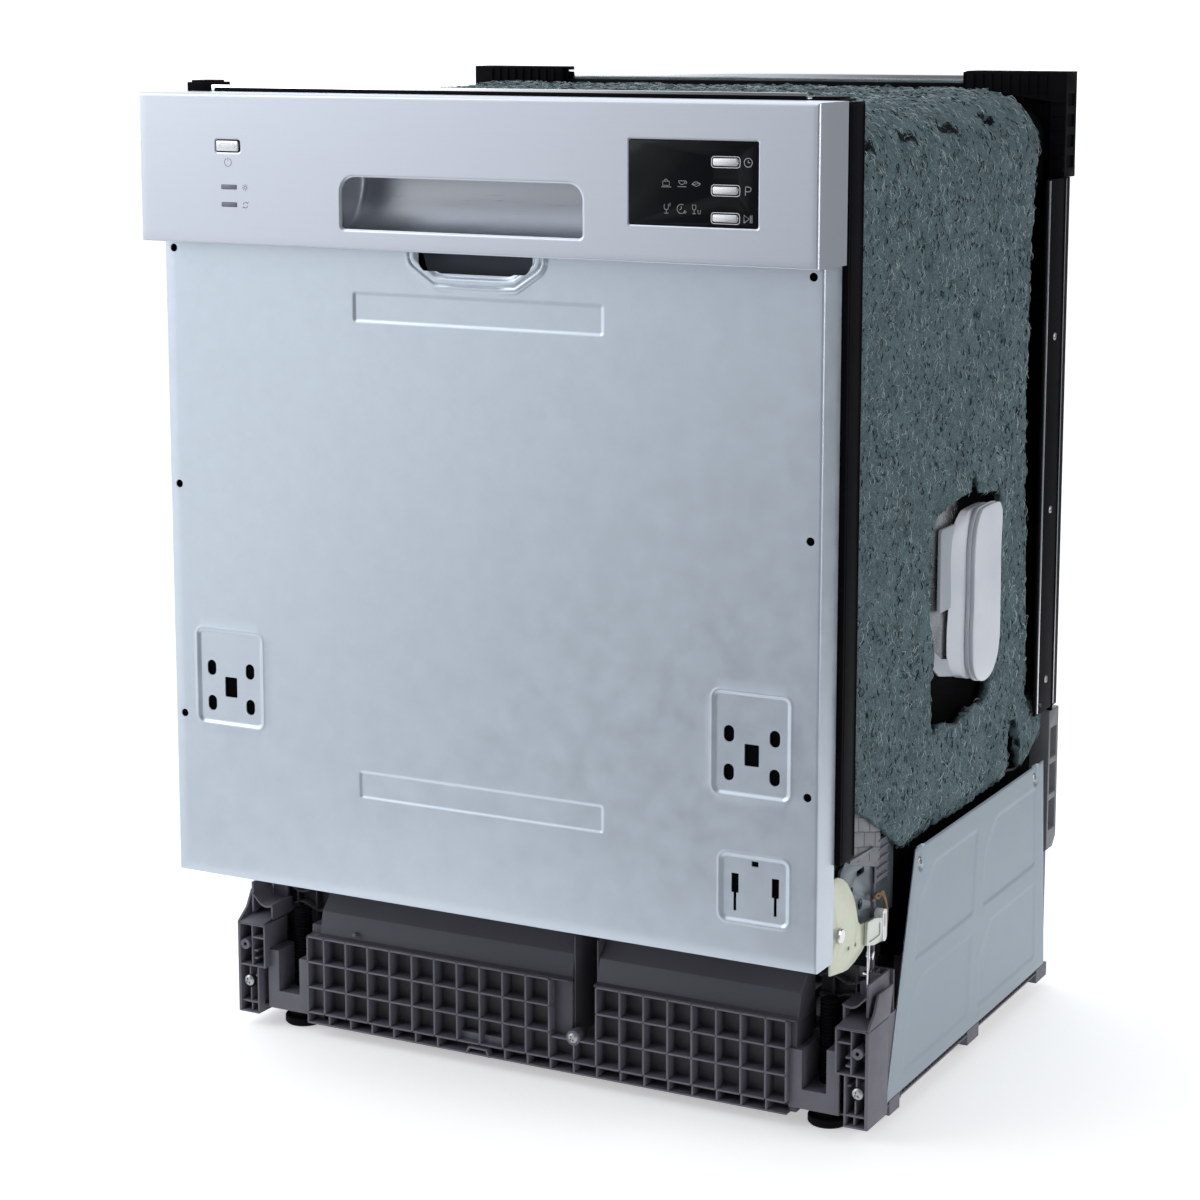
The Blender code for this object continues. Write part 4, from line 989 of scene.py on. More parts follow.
def make_base_front():
    """The kick wall: ribs cell by cell, the nose above them and the wall behind."""
    bm = bmesh.new()
    ribs(bm, LEFT_COLUMNS, GRID_ROWS, FRONT_Y, CELL_Y)
    ribs(bm, RIGHT_COLUMNS, GRID_ROWS, FRONT_Y, CELL_Y)
    for k in range(21):
        x = LOWER_X + LOWER_PITCH * k
        if not -79 < x < -37:
            block(bm, x - 0.85, x + 0.85, FRONT_Y, CELL_Y, 12.5, 22.0, 0.4)
    block(bm, -228.5, 228.4, FRONT_Y, CELL_Y + 2, 11.8, 13.4)
    block(bm, 11.8, 56.0, FRONT_Y, CELL_Y, 21.2, 22.8, 0.4)
    block(bm, 11.0, 56.5, 118.6, CELL_Y, 39.6, 41.2, 0.3)
    block(bm, 33.2, 34.8, 119.4, CELL_Y, 22.0, 36.0, 0.3)
    prism(bm, [(-69, 11.8), (-66, 18.8), (-48, 18.8), (-45, 11.8), (-46.8, 11.8), (-49.2, 17.2),
               (-64.8, 17.2), (-67.2, 11.8)], "Y", 116.4, 124)
    block(bm, -55.6, -54.0, 119, CELL_Y, 22.0, 33.0, 0.3)
    block(bm, -79.5, -36.5, 123.0, CELL_Y, 18.6, 29.0)
    piece("base_ribs", bm, "grey", "chassis", replaces=("base_tray",), bevel=0.3)
    bm = bmesh.new()
    facet_block(bm, -219.0, 30.0)
    facet_block(bm, 53.0, 235.0)
    block(bm, 11.5, 30.0, 125.5, 158, 40.0, 92.5)
    block(bm, 53.0, 57.0, 122.5, 158, 40.0, 92.5)
    block(bm, -228.5, -217.0, 127.0, 158, 12.5, 99.0)
    block(bm, 227.0, 234.0, 124.0, 158, 12.5, 92.0)
    piece("base_nose", bm, "nose", "chassis", bevel=1.1, steps=3)
    bm = bmesh.new()
    block(bm, -229.0, 30.0, CELL_Y - 0.6, CELL_Y + 2.0, 12.2, 92.0)
    block(bm, 53.0, 229.0, CELL_Y - 0.6, CELL_Y + 2.0, 12.2, 92.0)
    block(bm, 29.0, 54.0, CELL_Y - 0.6, CELL_Y + 2.0, 12.2, 40.2)
    for x0, x1 in ((30.0, 31.6), (51.4, 53.0)):
        block(bm, x0, x1, 128.0, 176, 40.0, 127.0)
    block(bm, 29.0, 54.0, 174, 176.5, 36.0, 127.0)
    for x in (-208, -120, -30, 75, 150, 210):
        block(bm, x - 0.8, x + 0.8, 146, 176, 92, 126.5)
    piece("base_wall", bm, "grey_shade", "chassis", bevel=0.4)
    # Near-black backs in some open cells: painted shade.
    bm = bmesh.new()
    for x0 in (LOWER_X + LOWER_PITCH * k for k in (2, 10, 18)):
        prism(bm, rounded(x0 + 2.2, x0 + 19.7, 14.4, 20.6, 0.8, 2), "Y", 129.5, 131.9)
    prism(bm, rounded(-64.0, -50.0, 12.4, 16.8, 0.8, 2), "Y", 125.5, 130.9)
    piece("base_cell_shade", bm, "painted_shadow", "chassis", bevel=0.2)
    screw("base_screw_front", 34.0, 116.6, 42.6, "Y", 4.6)
    bm = bmesh.new()
    drum(bm, 34.0, 42.6, 6.4, "Y", 118.0, 130)
    drum(bm, -182.0, 97.2, 1.7, "Y", 121.0, 126.5, 12)
    piece("base_boss", bm, "grey", "chassis", bevel=0.4)


def screw(name, x, y, z, axis, radius, out=-1):
    """A domed cross-head screw; out is the side that the head faces along its axis."""
    dome = [(0.0, 0.0), (radius * 0.5, 0.15), (radius * 0.86, 0.6), (radius, 1.4), (radius, 1.9),
            (radius * 0.5, 2.1), (radius * 0.5, 6.0), (0.0, 6.0)]
    bm = bmesh.new()
    lathe(bm, (x, y, z), [(r, -out * h) for r, h in dome], axis, 24)
    cut = bmesh.new()
    arm, wide = radius * 0.55, radius * 0.17
    mid, face = (x, y) if axis == "Y" else (y, x)
    limits = (face - 2, face + 1.1) if out < 0 else (face - 1.1, face + 2)
    for turn in (0.6, 0.6 + math.pi / 2):
        c, s = math.cos(turn), math.sin(turn)
        shape = [(c * a - s * b, s * a + c * b) for a, b in
                 ((-arm, -wide), (arm, -wide), (arm, wide), (-arm, wide))]
        prism(cut, [(mid + u, z + v) for u, v in shape], axis, *limits)
    piece(name, bm, "screw", "chassis", cut=cut, angle=40)


def make_foot_bay(side, word):
    """The opening round a front foot, and the wavy wall behind it."""
    span = spans(side)
    bm = bmesh.new()
    wall = [(228.0, 17.5), (272.0, 17.5), (272.0, 71.0), (260.5, 71.0), (260.5, 34.0),
            (239.5, 34.0), (239.5, 67.0), (228.0, 67.0)]
    shape = flipped(side, wall)
    prism(bm, shape if side > 0 else shape[::-1], "Y", 121.5, 124.5)
    block(bm, *span(239.5, 260.5), 123.5, 172, 31.5, 34.0)
    block(bm, *span(237.2, 239.5), 123.5, 168, 33.0, 67.0)
    block(bm, *span(260.5, 262.6), 123.5, 160, 33.0, 71.0)
    block(bm, *span(228.0, 238.0), 123.5, 172, 64.8, 67.0)
    block(bm, *span(261.0, 272.0), 123.5, 150, 68.8, 71.0)
    piece("foot_bay_" + word, bm, "grey", "chassis", bevel=0.7, steps=3)
    bm = bmesh.new()
    block(bm, *span(226.0, 228.2), 126.0, 176, 20.0, 92.0)
    block(bm, *span(234.0, 296.0), 172.5, 175.5, 30.0, 127.0)
    block(bm, *span(226.0, 296.0), 124.0, 176, 17.5, 19.5)
    for x in (248.0, 268.0, 284.0):
        block(bm, *span(x - 0.8, x + 0.8), 164, 174, 72, 127)
    for z, lift in ((116, 3.0), (101, -3.0)):
        path = [(side * (236 + 4.0 * i), 166.0, z + lift * math.sin(i * 0.7)) for i in range(15)]
        for a, b in zip(path, path[1:]):
            x0, x1 = sorted((a[0], b[0]))
            z0, z1 = (a[2], b[2]) if a[0] < b[0] else (b[2], a[2])
            wave = [(x0, z0 - 0.8), (x1, z1 - 0.8), (x1, z1 + 0.8), (x0, z0 + 0.8)]
            prism(bm, wave, "Y", 162, 173.5)
    piece("foot_alcove_" + word, bm, "grey_shade", "chassis", bevel=0.3)


def make_column(side, word):
    """Corner column: an open frame of ribs with a screw boss, a stepped top and a lug behind."""
    span = spans(side)
    bm = bmesh.new()
    deep = 150.0
    boss_x, boss_z = 290.2, 75.0
    block(bm, *span(296.2, 299.0), 115.0, 157.0, 12.0, 94.0)
    block(bm, *span(270.2, 272.1), 115.0, deep, 55.0, 94.0, 0.2)
    block(bm, *span(278.0, 279.8), 116.0, deep, 12.5, 56.0, 0.2)
    block(bm, *span(283.4, 285.0), 115.6, deep, 55.0, 94.0, 0.3)
    for z, x0, x1, y in ((93.0, 270.2, 297, 115.0), (81.5, 271.5, 284.0, 115.8),
                         (55.6, 270.2, 297, 115.2), (22.0, 278.0, 297, 116.4),
                         (12.8, 278.0, 297, 115.2), (75.0, 292.0, 297.0, 115.9),
                         (69.5, 279.0, 284.0, 116.5), (62.5, 279.0, 284.0, 116.5),
                         (46.0, 278.5, 283.0, 118.0)):
        block(bm, *span(x0, x1), y, deep, z - 0.9, z + 0.9, 0.25)
    for z0, z1, shift in ((46.0, 55.0, 0.0), (22.0, 34.5, -0.8), (13.0, 22.0, -1.6)):
        block(bm, *span(287.6 + shift, 289.0 + shift), 117.5, deep, z0, z1, 0.2)
    block(bm, *span(270.4, 298.2), 138.0, deep, 12.7, 93.6)
    top = [(115.0, 92.5), (115.0, 94.6), (128.0, 104.0), (136.0, 118.0), (166.0, 118.0),
           (160.0, 92.5)]
    prism(bm, top, "X", *span(296.6, 299.0))
    floor = [(115.0, 92.8), (115.0, 94.4), (150.0, 101.0), (150.0, 99.0)]
    prism(bm, floor, "X", *span(272.0, 298.0))
    piece("column_frame_" + word, bm, "grey", "chassis", replaces=("base_column_" + word,),
          bevel=0.4)
    bm = bmesh.new()
    shelf = smooth_run([(271.0, 108.0), (277.0, 106.6), (283.0, 108.2), (288.5, 113.5),
                        (292.0, 116.5)])
    for a, b in zip(shelf, shelf[1:]):
        shape = [(a[0], a[1] - 0.9), (b[0], b[1] - 0.9), (b[0], b[1] + 0.9), (a[0], a[1] + 0.9)]
        prism(bm, flipped(side, shape), "Y", 128.0, 160.0)
    block(bm, *span(271.0, 273.0), 129.0, 160, 95.0, 108.5)
    block(bm, *span(291.0, 293.0), 129.0, 172, 100.0, 127.0)
    block(bm, *span(272.0, 293.0), 148.0, 172, 95.0, 99.5)
    lug = [(274, 99), (291, 99), (291, 127), (281, 127), (279, 121), (274, 118)]
    prism(bm, flipped(side, lug), "Y", 157.0, 160.0)
    drum(bm, side * boss_x, boss_z, 4.6, "Y", 113.2, 140)
    cut = bmesh.new()
    drum(cut, side * boss_x, boss_z, 1.7, "Y", 110, 126, 16)
    piece("column_shelf_" + word, bm, "grey", "chassis", cut=cut, angle=30)
    screw("column_screw_" + word, side * 289.4, 116.0, 40.5, "Y", 4.9)


def make_base_rest():
    """The base behind the kick wall: side and rear walls, skids and floor."""
    bm = bmesh.new()
    for side in (-1, 1):
        span = spans(side)
        block(bm, *span(292.6, 295.5), 205, 546, 19, 127)
        for y in (215, 330, 445, 520):
            block(bm, *span(280, 293), y - 1, y + 1, 22, 124)
        for y0, y1 in ((163, 185), (341, 369), (520, 548)):
            block(bm, *span(289.0, 298.4), y0, y1, 8.0, 20.4)
        for k in range(48):
            y = 190 + 7.2 * k
            block(bm, *span(295.2, 298.0), y - 0.3, y + 0.3, 17.2, 20.0)
        block(bm, *span(293.2, 298.2), 156, 545, 16.2, 17.6)
        block(bm, *span(290.0, 297.2), 152, 192, 14, 93)
    block(bm, -295, 295, 543, 546, 19, 127)
    for x in (-270, -180, -90, 0, 90, 180, 270):
        block(bm, x - 1.2, x + 1.2, 545, 552, 22, 124)
    for z in (24, 58, 92, 122):
        block(bm, -292, 292, 545, 551, z - 1.2, z + 1.2)
    cut = bmesh.new()
    drum(cut, -218, 72, 17.0, "Y", 536, 570, 28)
    piece("base_shell", bm, "grey", "chassis", cut=cut, angle=30)
    bm = bmesh.new()
    block(bm, -293, 293, 150, 544, 19, 22)
    for x in (-150, -50, 50, 150):
        block(bm, x - 1.2, x + 1.2, 176, 544, 21, 30)
    for y in (230, 300, 400, 480):
        block(bm, -292, 292, y - 1.2, y + 1.2, 21, 28)
    cut = bmesh.new()
    for side in (-1, 1):
        for y in FOOT_Y.values():
            drum(cut, side * FOOT_X, y, 10.5, "Z", 10, 34)
    piece("base_floor", bm, "grey_shade", "chassis", cut=cut, angle=30)


def make_feet():
    """Threaded feet with a knurled rim, each on its own body."""
    for end, y in FOOT_Y.items():
        for side, word in SIDES:
            profile = [(0, 104), (6.8, 104), (8.0, 102.8)]
            z = 102.0
            while z > 14:
                profile += [(8.0, z), (6.9, z - 0.7), (6.9, z - 1.5), (8.0, z - 2.2)]
                z -= 2.9
            profile += [(8.0, 11.5), (9.6, 10.6), (11.6, 10.2), (11.6, 8.0), (16.4, 7.2),
                        (17.0, 6.4), (17.0, 1.6), (15.6, 0.0), (11.0, 0.0), (10.0, 0.8), (0, 0.8)]
            bm = bmesh.new()
            lathe(bm, (side * FOOT_X, y, 0), profile, "Z", 36)
            for u, v in around(side * FOOT_X, y, 15.6, 12):
                drum(bm, u, v, 1.3, "Z", 1.4, 6.2, 8)
            name = f"foot_{end}_{word}"
            piece("screw_" + name, bm, "black", name, replaces=(name,), angle=35)


def make_side_plate(side, word):
    """Galvanised side cover with four chamfered pressings and two screw dimples."""
    foot, head = 20.6, 217.0

    def edges(z):
        t = (z - foot) / (head - foot)
        return 156 + 56 * t, 541 - 15.4 * t
    pressings = [(0.07, 0.47, 34.0, 108.0), (0.53, 0.93, 34.0, 108.0), (0.07, 0.47, 122.0, 198.0),
                 (0.53, 0.93, 122.0, 198.0)]

    def height(u, z, y):
        lift = 0.0
        for u0, u1, z0, z1 in pressings:
            front, rear = edges(z)
            width = rear - front
            depth = inside_box(u * width, z, (u0 * width, u1 * width, z0, z1), 6.0)
            chamfer = ((u - u0) * width + (z1 - z)) * 0.7071 - 19.0
            lift -= 0.85 * ramp(min(depth, chamfer), 0.0, 4.6)
        for sy, low in ((223.0, 203.0), (504.0, 205.0)):
            d = 7.4 - math.hypot(y - sy, min(0.0, z - low))
            lift -= 1.9 * ramp(d, 0.0, 2.2)
        return lift
    marks_u = [0.07, 0.47, 0.53, 0.93, 0.045, 0.95]
    us = lines_near(0.0, 1.0, 0.014, sorted(marks_u), 0.0042, 0.022)
    zs = lines_near(foot, head, 4.5, [36, 106, 124, 196, 203, 209], 1.3, 8.0)
    bm = bmesh.new()
    grid = []
    for u in us:
        column = []
        for z in zs:
            front, rear = edges(z)
            y = front + (rear - front) * u
            rim = min(u * (rear - front), (1 - u) * (rear - front), z - foot, head - z)
            fold = 0.9 * (1 - ramp(rim, 0.0, 1.5))
            column.append(bm.verts.new(at(side * (298.9 - fold + height(u, z, y)), y, z)))
        grid.append(column)
    for a, b in zip(grid, grid[1:]):
        for i in range(len(zs) - 1):
            face = (a[i], b[i], b[i + 1], a[i + 1])
            bm.faces.new(face if side > 0 else face[::-1])
    solid = thickened(mesh_from(bm, "plate", recalculate=False), 1.0, -1.0)
    piece("side_cover_" + word, solid, "side_zinc", "chassis", replaces=("side_plate_" + word,),
          angle=40)
    for index, (y, z) in enumerate(((223.0, 203.5), (504.0, 205.5))):
        screw(f"side_screw_{word}_{index}", side * 298.6, y, z, "X", 4.4, out=side)


# ------------------------------------------------------------------ felt and breather

FELT_REAR = [(219, 548), (243, 548), (266, 536), (272, 503), (310, 497), (400, 490), (460, 484),
             (543, 480), (640, 484), (744, 488), (770, 500), (830, 512)]
FELT_LOW = [(80, 283), (92, 283), (150, 252), (207, 219), (500, 219), (548, 243)]
PATCH = [(255, 470), (262, 482), (300, 486), (330, 490), (372, 484), (412, 480), (416, 440),
         (413, 400), (408, 350), (398, 318), (384, 300), (356, 306), (318, 296), (280, 306),
         (262, 296), (258, 330), (264, 370), (250, 400), (252, 440)]
SLIT = [(338, 486), (345, 508), (352, 504), (358, 484)]
NOTCH = [(446, 212), (444, 258), (452, 270), (468, 268), (479, 246), (482, 212)]
STITCH_DENTS = [(118, 783), (205, 788), (300, 792), (395, 794)]
DENT_SLOPE = 0.12
FELT_FRONT, FELT_HALF, FELT_TOP, FELT_RADIUS, FELT_THICK = 87.6, 292.0, 814.0, 60.0, 8.5
FELT_SIDE_ROWS, FELT_ARC_ROWS, FELT_TOP_ROWS, FELT_COLUMNS = 158, 19, 150, 122
FELT_ROWS = 2 * (FELT_SIDE_ROWS + FELT_ARC_ROWS) + FELT_TOP_ROWS

# Loose fibres: shade, number, shortest and longest, half thickness and loft in millimetres.
FIBRES = (("pale", 6200, (2.5, 10.0), 0.14, 1.3), ("mid", 3600, (4.0, 11.0), 0.22, 1.1),
          ("dark", 5200, (2.0, 6.5), 0.42, 0.45))
# Extra dark fibres laid along the shoulder dents: painted shade in the creases.
DENT_SHADE_FIBRES = 900
FIBRE_SEED, FIBRE_STEPS, FIBRE_SIDES = 20, 4, 3


def between(table, value):
    """Reads a table of (value, result) pairs, straight between its entries."""
    for (a, b), (c, d) in zip(table, table[1:]):
        if value <= c:
            t = 0.0 if c == a else min(1.0, max(0.0, (value - a) / (c - a)))
            return b + (d - b) * t
    return table[-1][1]


def ragged(u, v, seed, size, amount):
    """A small smooth offset in millimetres that makes a cut edge uneven."""
    return amount * noise.noise(Vector((u / size, v / size, seed)))


def felt_point(row, t):
    """Where a point of the blanket lies on the tub before it is roughened, and its normal."""
    shoulder, y0 = FELT_TOP - FELT_RADIUS, FELT_FRONT
    mirrored = row > FELT_ROWS / 2
    k = FELT_ROWS - row if mirrored else row
    side = -1 if mirrored else 1
    if k <= FELT_SIDE_ROWS:
        f = k / FELT_SIDE_ROWS
        z_guess = 225 + f * (shoulder - 225)
        y0 = FELT_FRONT + ragged(z_guess, side, 1.0, 14, 1.2)
        y = y0 + (between(FELT_REAR, z_guess) + ragged(z_guess, side, 5.0, 11, 5.0) - y0) * t
        low = between(FELT_LOW, y) + ragged(y, side, 9.0, 10, 3.5)
        z = low + (shoulder - low) * f
        if z < 272:
            y = FELT_FRONT + (between(FELT_REAR, z) - FELT_FRONT) * t
        return Vector((side * FELT_HALF, y, z)), Vector((side, 0, 0))
    if k <= FELT_SIDE_ROWS + FELT_ARC_ROWS:
        a = math.pi / 2 * (k - FELT_SIDE_ROWS) / FELT_ARC_ROWS
        x = FELT_HALF - FELT_RADIUS + FELT_RADIUS * math.cos(a)
        z = shoulder + FELT_RADIUS * math.sin(a)
        y = y0 + (between(FELT_REAR, z) + ragged(z, side, 5.0, 11, 5.0) - y0) * t
        return Vector((side * x, y, z)), Vector((side * math.cos(a), 0, math.sin(a)))
    across = 1 - 2 * (row - FELT_SIDE_ROWS - FELT_ARC_ROWS) / FELT_TOP_ROWS
    x = (FELT_HALF - FELT_RADIUS) * across
    y = y0 + (512 + ragged(x, 0, 5.0, 17, 6.0) - y0) * t
    return Vector((x, y, FELT_TOP)), Vector((0, 0, 1))


def felt_lift(p, n):
    """Loft of the matted surface in millimetres: slow waves, lumps and fibre clumps."""
    q = p / 1000.0
    lift = 2.2 * noise.noise(q * 16.0) + 1.3 * noise.noise(q * 42.0 + Vector((3, 1, 7)))
    fine, finest = q * 105.0 + Vector((9, 2, 4)), q * 230.0 + Vector((1, 8, 2))
    lift += noise.noise(fine) + 0.9 * noise.noise(finest)
    pit = noise.noise(q * 75.0 + Vector((5, 5, 1)))
    lift -= 2.6 * ramp(pit, 0.38, 0.72)
    if n.z > 0.2 and abs(n.x) > 0.05:
        for y, z in STITCH_DENTS:
            away = math.hypot(max(0.0, abs(p.y - y) - 7.0), p.z - z + DENT_SLOPE * (p.y - y))
            lift -= 8.5 * (1 - ramp(away, 1.2, 3.6))
    if n.z > 0.9:
        lift += 1.2 * noise.noise(q * 9.0 + Vector((2, 2, 2))) - 0.8
    return max(-7.5, min(4.2, lift)) + 4.5 * ramp(p.y, 260, 500) * max(0.0, n.z)


def make_felt():
    """The blanket over the tub; returns its outer faces, which loose fibres lie on."""
    bm = bmesh.new()
    grid, base = [], []
    for row in range(FELT_ROWS + 1):
        line, flat = [], []
        for c in range(FELT_COLUMNS + 1):
            p, n = felt_point(row, c / FELT_COLUMNS)
            flat.append(p)
            rim = min(c, FELT_COLUMNS - c, row, FELT_ROWS - row)
            q = p + n * (felt_lift(p, n) - 3.0 * (1 - ramp(rim, 0, 4)))
            line.append(bm.verts.new(at(q.x, q.y, q.z)))
        grid.append(line)
        base.append(flat)
    openings = (PATCH, SLIT, NOTCH)
    depth = {}
    for row in range(FELT_SIDE_ROWS + 1):
        for c in range(FELT_COLUMNS + 1):
            p = base[row][c]
            for hole in openings:
                gap_y, gap_z = (min(abs(p[i + 1] - q[i]) for q in hole) for i in (0, 1))
                if gap_y > 60 and gap_z > 60:
                    continue
                y, z = p.y + ragged(p.z, 0, 3.0, 6, 2.2), p.z + ragged(p.y, 0, 7.0, 6, 2.2)
                d = inside_shape(y, z, hole)
                depth[row, c] = max(depth.get((row, c), -1e9), d)
    for row in range(FELT_ROWS):
        for c in range(FELT_COLUMNS):
            corners = ((row, c), (row, c + 1), (row + 1, c + 1), (row + 1, c))
            if sum(depth.get(k, -1e9) > 0 for k in corners) >= 3:
                continue
            bm.faces.new([grid[a][b] for a, b in corners])
    for (row, c), d in depth.items():
        if 0 < d < 6 and grid[row][c].link_faces:
            p = base[row][c]
            hole = min(openings, key=lambda h: -inside_shape(p.y, p.z, h))
            y, z = nearest_on(p.y, p.z, hole)
            grid[row][c].co = at(grid[row][c].co.x / MM - 1.2, y, z)
    bmesh.ops.delete(bm, geom=[v for v in bm.verts if not v.link_faces], context="VERTS")
    bm.normal_update()
    if sum(f.normal.x * f.calc_area() for f in bm.faces if f.calc_center_median().x > 0.28) < 0:
        bmesh.ops.reverse_faces(bm, faces=bm.faces)
    mesh = mesh_from(bm, "felt", recalculate=False)
    skin = [(poly.center.copy(), poly.normal.copy(), poly.area) for poly in mesh.polygons]
    solid = thickened(mesh, FELT_THICK, -1.0)
    felt = piece("felt_blanket", solid, "felt", "chassis", replaces=("insulation_felt",),
                 angle=180)
    return skin


def nearest_on(u, v, points):
    """The point of a closed outline that is nearest to a place."""
    best = (1e9, u, v)
    for (ax, ay), (bx, by) in zip(points, points[1:] + points[:1]):
        ex, ey = bx - ax, by - ay
        t = min(1.0, max(0.0, ((u - ax) * ex + (v - ay) * ey) / (ex * ex + ey * ey)))
        x, y = ax + ex * t, ay + ey * t
        best = min(best, (math.hypot(u - x, v - y), x, y))
    return best[1], best[2]


def in_dent(p):
    """True on the thin slits that the seam pulls into the right shoulder of the blanket."""
    y, z = p.y / MM + HALF_DEPTH, p.z / MM
    return p.x > 0 and any(abs(y - a) < 15 and abs(z - b + DENT_SLOPE * (y - a)) < 1.7
                           for a, b in STITCH_DENTS)


def make_fibres(skin):
    """Loose fibres combed mostly down the sides, lying on the blanket and curling off it; extra
    dark fibres laid along the shoulder dents are painted shade in those creases.
    """
    draw = random.Random(FIBRE_SEED)
    marks = list(itertools.accumulate(face[2] for face in skin))
    dent_shade_spots = [face for face in skin if in_dent(face[0])]
    for shade, count, reach, thick, loft in FIBRES:
        verts, faces = [], []
        for number in range(count + (DENT_SHADE_FIBRES if shade == "dark" else 0)):
            pick = bisect.bisect_left(marks, draw.random() * marks[-1])
            centre, normal = skin[min(pick, len(skin) - 1)][:2]
            # The extra dark fibres go into the dents as painted shade.
            if number >= count and dent_shade_spots:
                centre, normal = draw.choice(dent_shade_spots)[:2]
            down = Vector((0, 0, 1)) if abs(normal.z) < 0.6 else Vector((1, 0.2, 0))
            along = down - normal * down.dot(normal)
            along.normalize()
            across = normal.cross(along)
            turn = draw.gauss(0.0, 0.65)
            if number >= count:
                turn = 1.5 + 0.3 * turn
            heading = along * math.cos(turn) + across * math.sin(turn)
            bend = normal.cross(heading)
            length = draw.uniform(*reach) * MM
            curl = draw.gauss(0.0, 0.35) * length
            hook = draw.gauss(0.0, 0.22) * length
            start = centre + across * draw.uniform(-2, 2) * MM + along * draw.uniform(-2, 2) * MM
            radius = thick * draw.uniform(0.7, 1.25) * MM
            first = len(verts)
            for k in range(FIBRE_STEPS + 1):
                s = k / FIBRE_STEPS
                p = start + heading * (s - 0.5) * length
                p = p + bend * (curl * 4 * s * (1 - s) + hook * math.sin(6.3 * s))
                p = p + normal * (loft * math.sin(math.pi * min(1.0, s * 1.1)) + 0.1) * MM
                r = radius * (0.55 + 0.45 * math.sin(math.pi * s))
                for j in range(FIBRE_SIDES):
                    a = math.tau * j / FIBRE_SIDES
                    verts.append(p + normal * r * math.cos(a) + bend * r * math.sin(a))
            last = first + FIBRE_SIDES * FIBRE_STEPS
            for ring in range(first, last, FIBRE_SIDES):
                for j in range(FIBRE_SIDES):
                    a, b = ring + j, ring + (j + 1) % FIBRE_SIDES
                    faces.append((a, b, b + FIBRE_SIDES, a + FIBRE_SIDES))
            faces.append((first + 2, first + 1, first))
            faces.append((last, last + 1, last + 2))
        mesh = bpy.data.meshes.new("fibres")
        mesh.from_pydata([tuple(v) for v in verts], [], faces)
        piece("felt_fibres_" + shade, mesh, "fibre_" + shade, "chassis",
              angle=180)


def make_breather():
    """Milky vent housing: a rear body and a proud front cover with a groove between them."""
    def shell(layers, flare=0.0):
        cy = sum(u for u, v in shape) / len(shape)
        cz = sum(v for u, v in shape) / len(shape)
        loops = []
        for x, inset in layers:
            loop = []
            for u, v in shape:
                d = math.hypot(u - cy, v - cz)
                k = (d - inset) / d
                lean = flare * max(0.0, (cy - u) / 33.0) * (1 - (x - layers[0][0]) / 12.0)
                loop.append(bm.verts.new(at(x, cy + (u - cy) * k - lean, cz + (v - cz) * k)))
            loops.append(loop)
        for a, b in zip(loops, loops[1:]):
            stitch(bm, a, b)
        bm.faces.new(loops[0][::-1])
        bm.faces.new(loops[-1])
    outline = [(404, 356), (404, 400), (402.5, 430), (404, 462), (401, 470), (394, 474),
               (362, 474), (352, 470), (344, 460), (340, 448), (338.6, 430), (339.6, 400),
               (338, 372), (338.6, 350), (342, 338), (350, 329), (360, 324.5), (371, 323),
               (382, 325), (392, 331), (400, 342)]
    shape = smooth_run(outline + outline[:1], 4)[:-1]
    bm = bmesh.new()
    shell([(278.6, 3.0), (278.9, 2.2), (285.2, 1.6), (286.0, 2.4), (288.9, 3.2)], 17.0)
    shell([(288.8, 4.4), (289.4, 0.6), (290.6, 0.0), (292.4, 0.0), (292.8, 1.4), (293.6, 1.4),
           (294.0, 0.4), (296.6, 0.4), (297.3, 1.2), (297.6, 2.6), (297.75, 6.0), (297.85, 11.0)])
    piece("breather_housing", bm, "milky", "chassis", replaces=("breather",), angle=34)
    bm = bmesh.new()
    prism(bm, rounded(250, 420, 292, 342, 3), "X", 276.3, 277.6)
    prism(bm, rounded(352, 420, 330, 492, 3), "X", 276.3, 277.4)
    piece("breather_shade", bm, "painted_shadow", "chassis", bevel=0.3)
    bm = bmesh.new()
    prism(bm, rounded(303, 340, 392, 462, (3, 12, 4, 4)), "X", 277.2, 280.2)
    prism(bm, [(277, 356), (306, 338), (345, 330), (345, 345), (310, 352), (283, 368)], "X", 277.4,
          279.6)
    piece("breather_backplate", bm, "breather_grey", "chassis", bevel=0.5)


# ------------------------------------------------------------------ hinges and side fittings

HINGE_Y, HINGE_Z = 75, 183


def make_hinge_arm(side, word):
    """The passivated fan on the door's edge, with its rivet."""
    span = spans(side)
    bm = bmesh.new()
    fan = [(57.6, 156), (57.6, 232), (70, 231), (80, 227), (89, 221), (98, 212), (105, 202),
           (109, 192), (112, 184), (117, 180), (128, 179), (128, 161), (120, 157), (106, 153),
           (92, 151), (82, 152)]
    prism(bm, fan, "X", *span(288.2, 289.9))
    block(bm, *span(285.5, 290.4), 57.6, 59.6, 166, 226)
    cut = bmesh.new()
    for y, z, r in ((HINGE_Y, HINGE_Z, 4.5), (93, 168, 1.7), (107, 167, 1.9)):
        drum(cut, y, z, r, "X", *span(280, 300))
    piece("hinge_fan_" + word, bm, "green", "door", replaces=("hinge_arm_" + word,), bevel=0.35,
          cut=cut)
    bm = bmesh.new()
    profile = [(0, 2.6), (5.2, 2.4), (6.0, 1.7), (6.0, 0.4), (4.2, 0.2), (4.2, -1.5), (0, -1.5)]
    lathe(bm, (side * 289.7, HINGE_Y, HINGE_Z), flipped_heights(side, profile), "X", 28)
    piece("hinge_rivet_" + word, bm, "polished", "door")


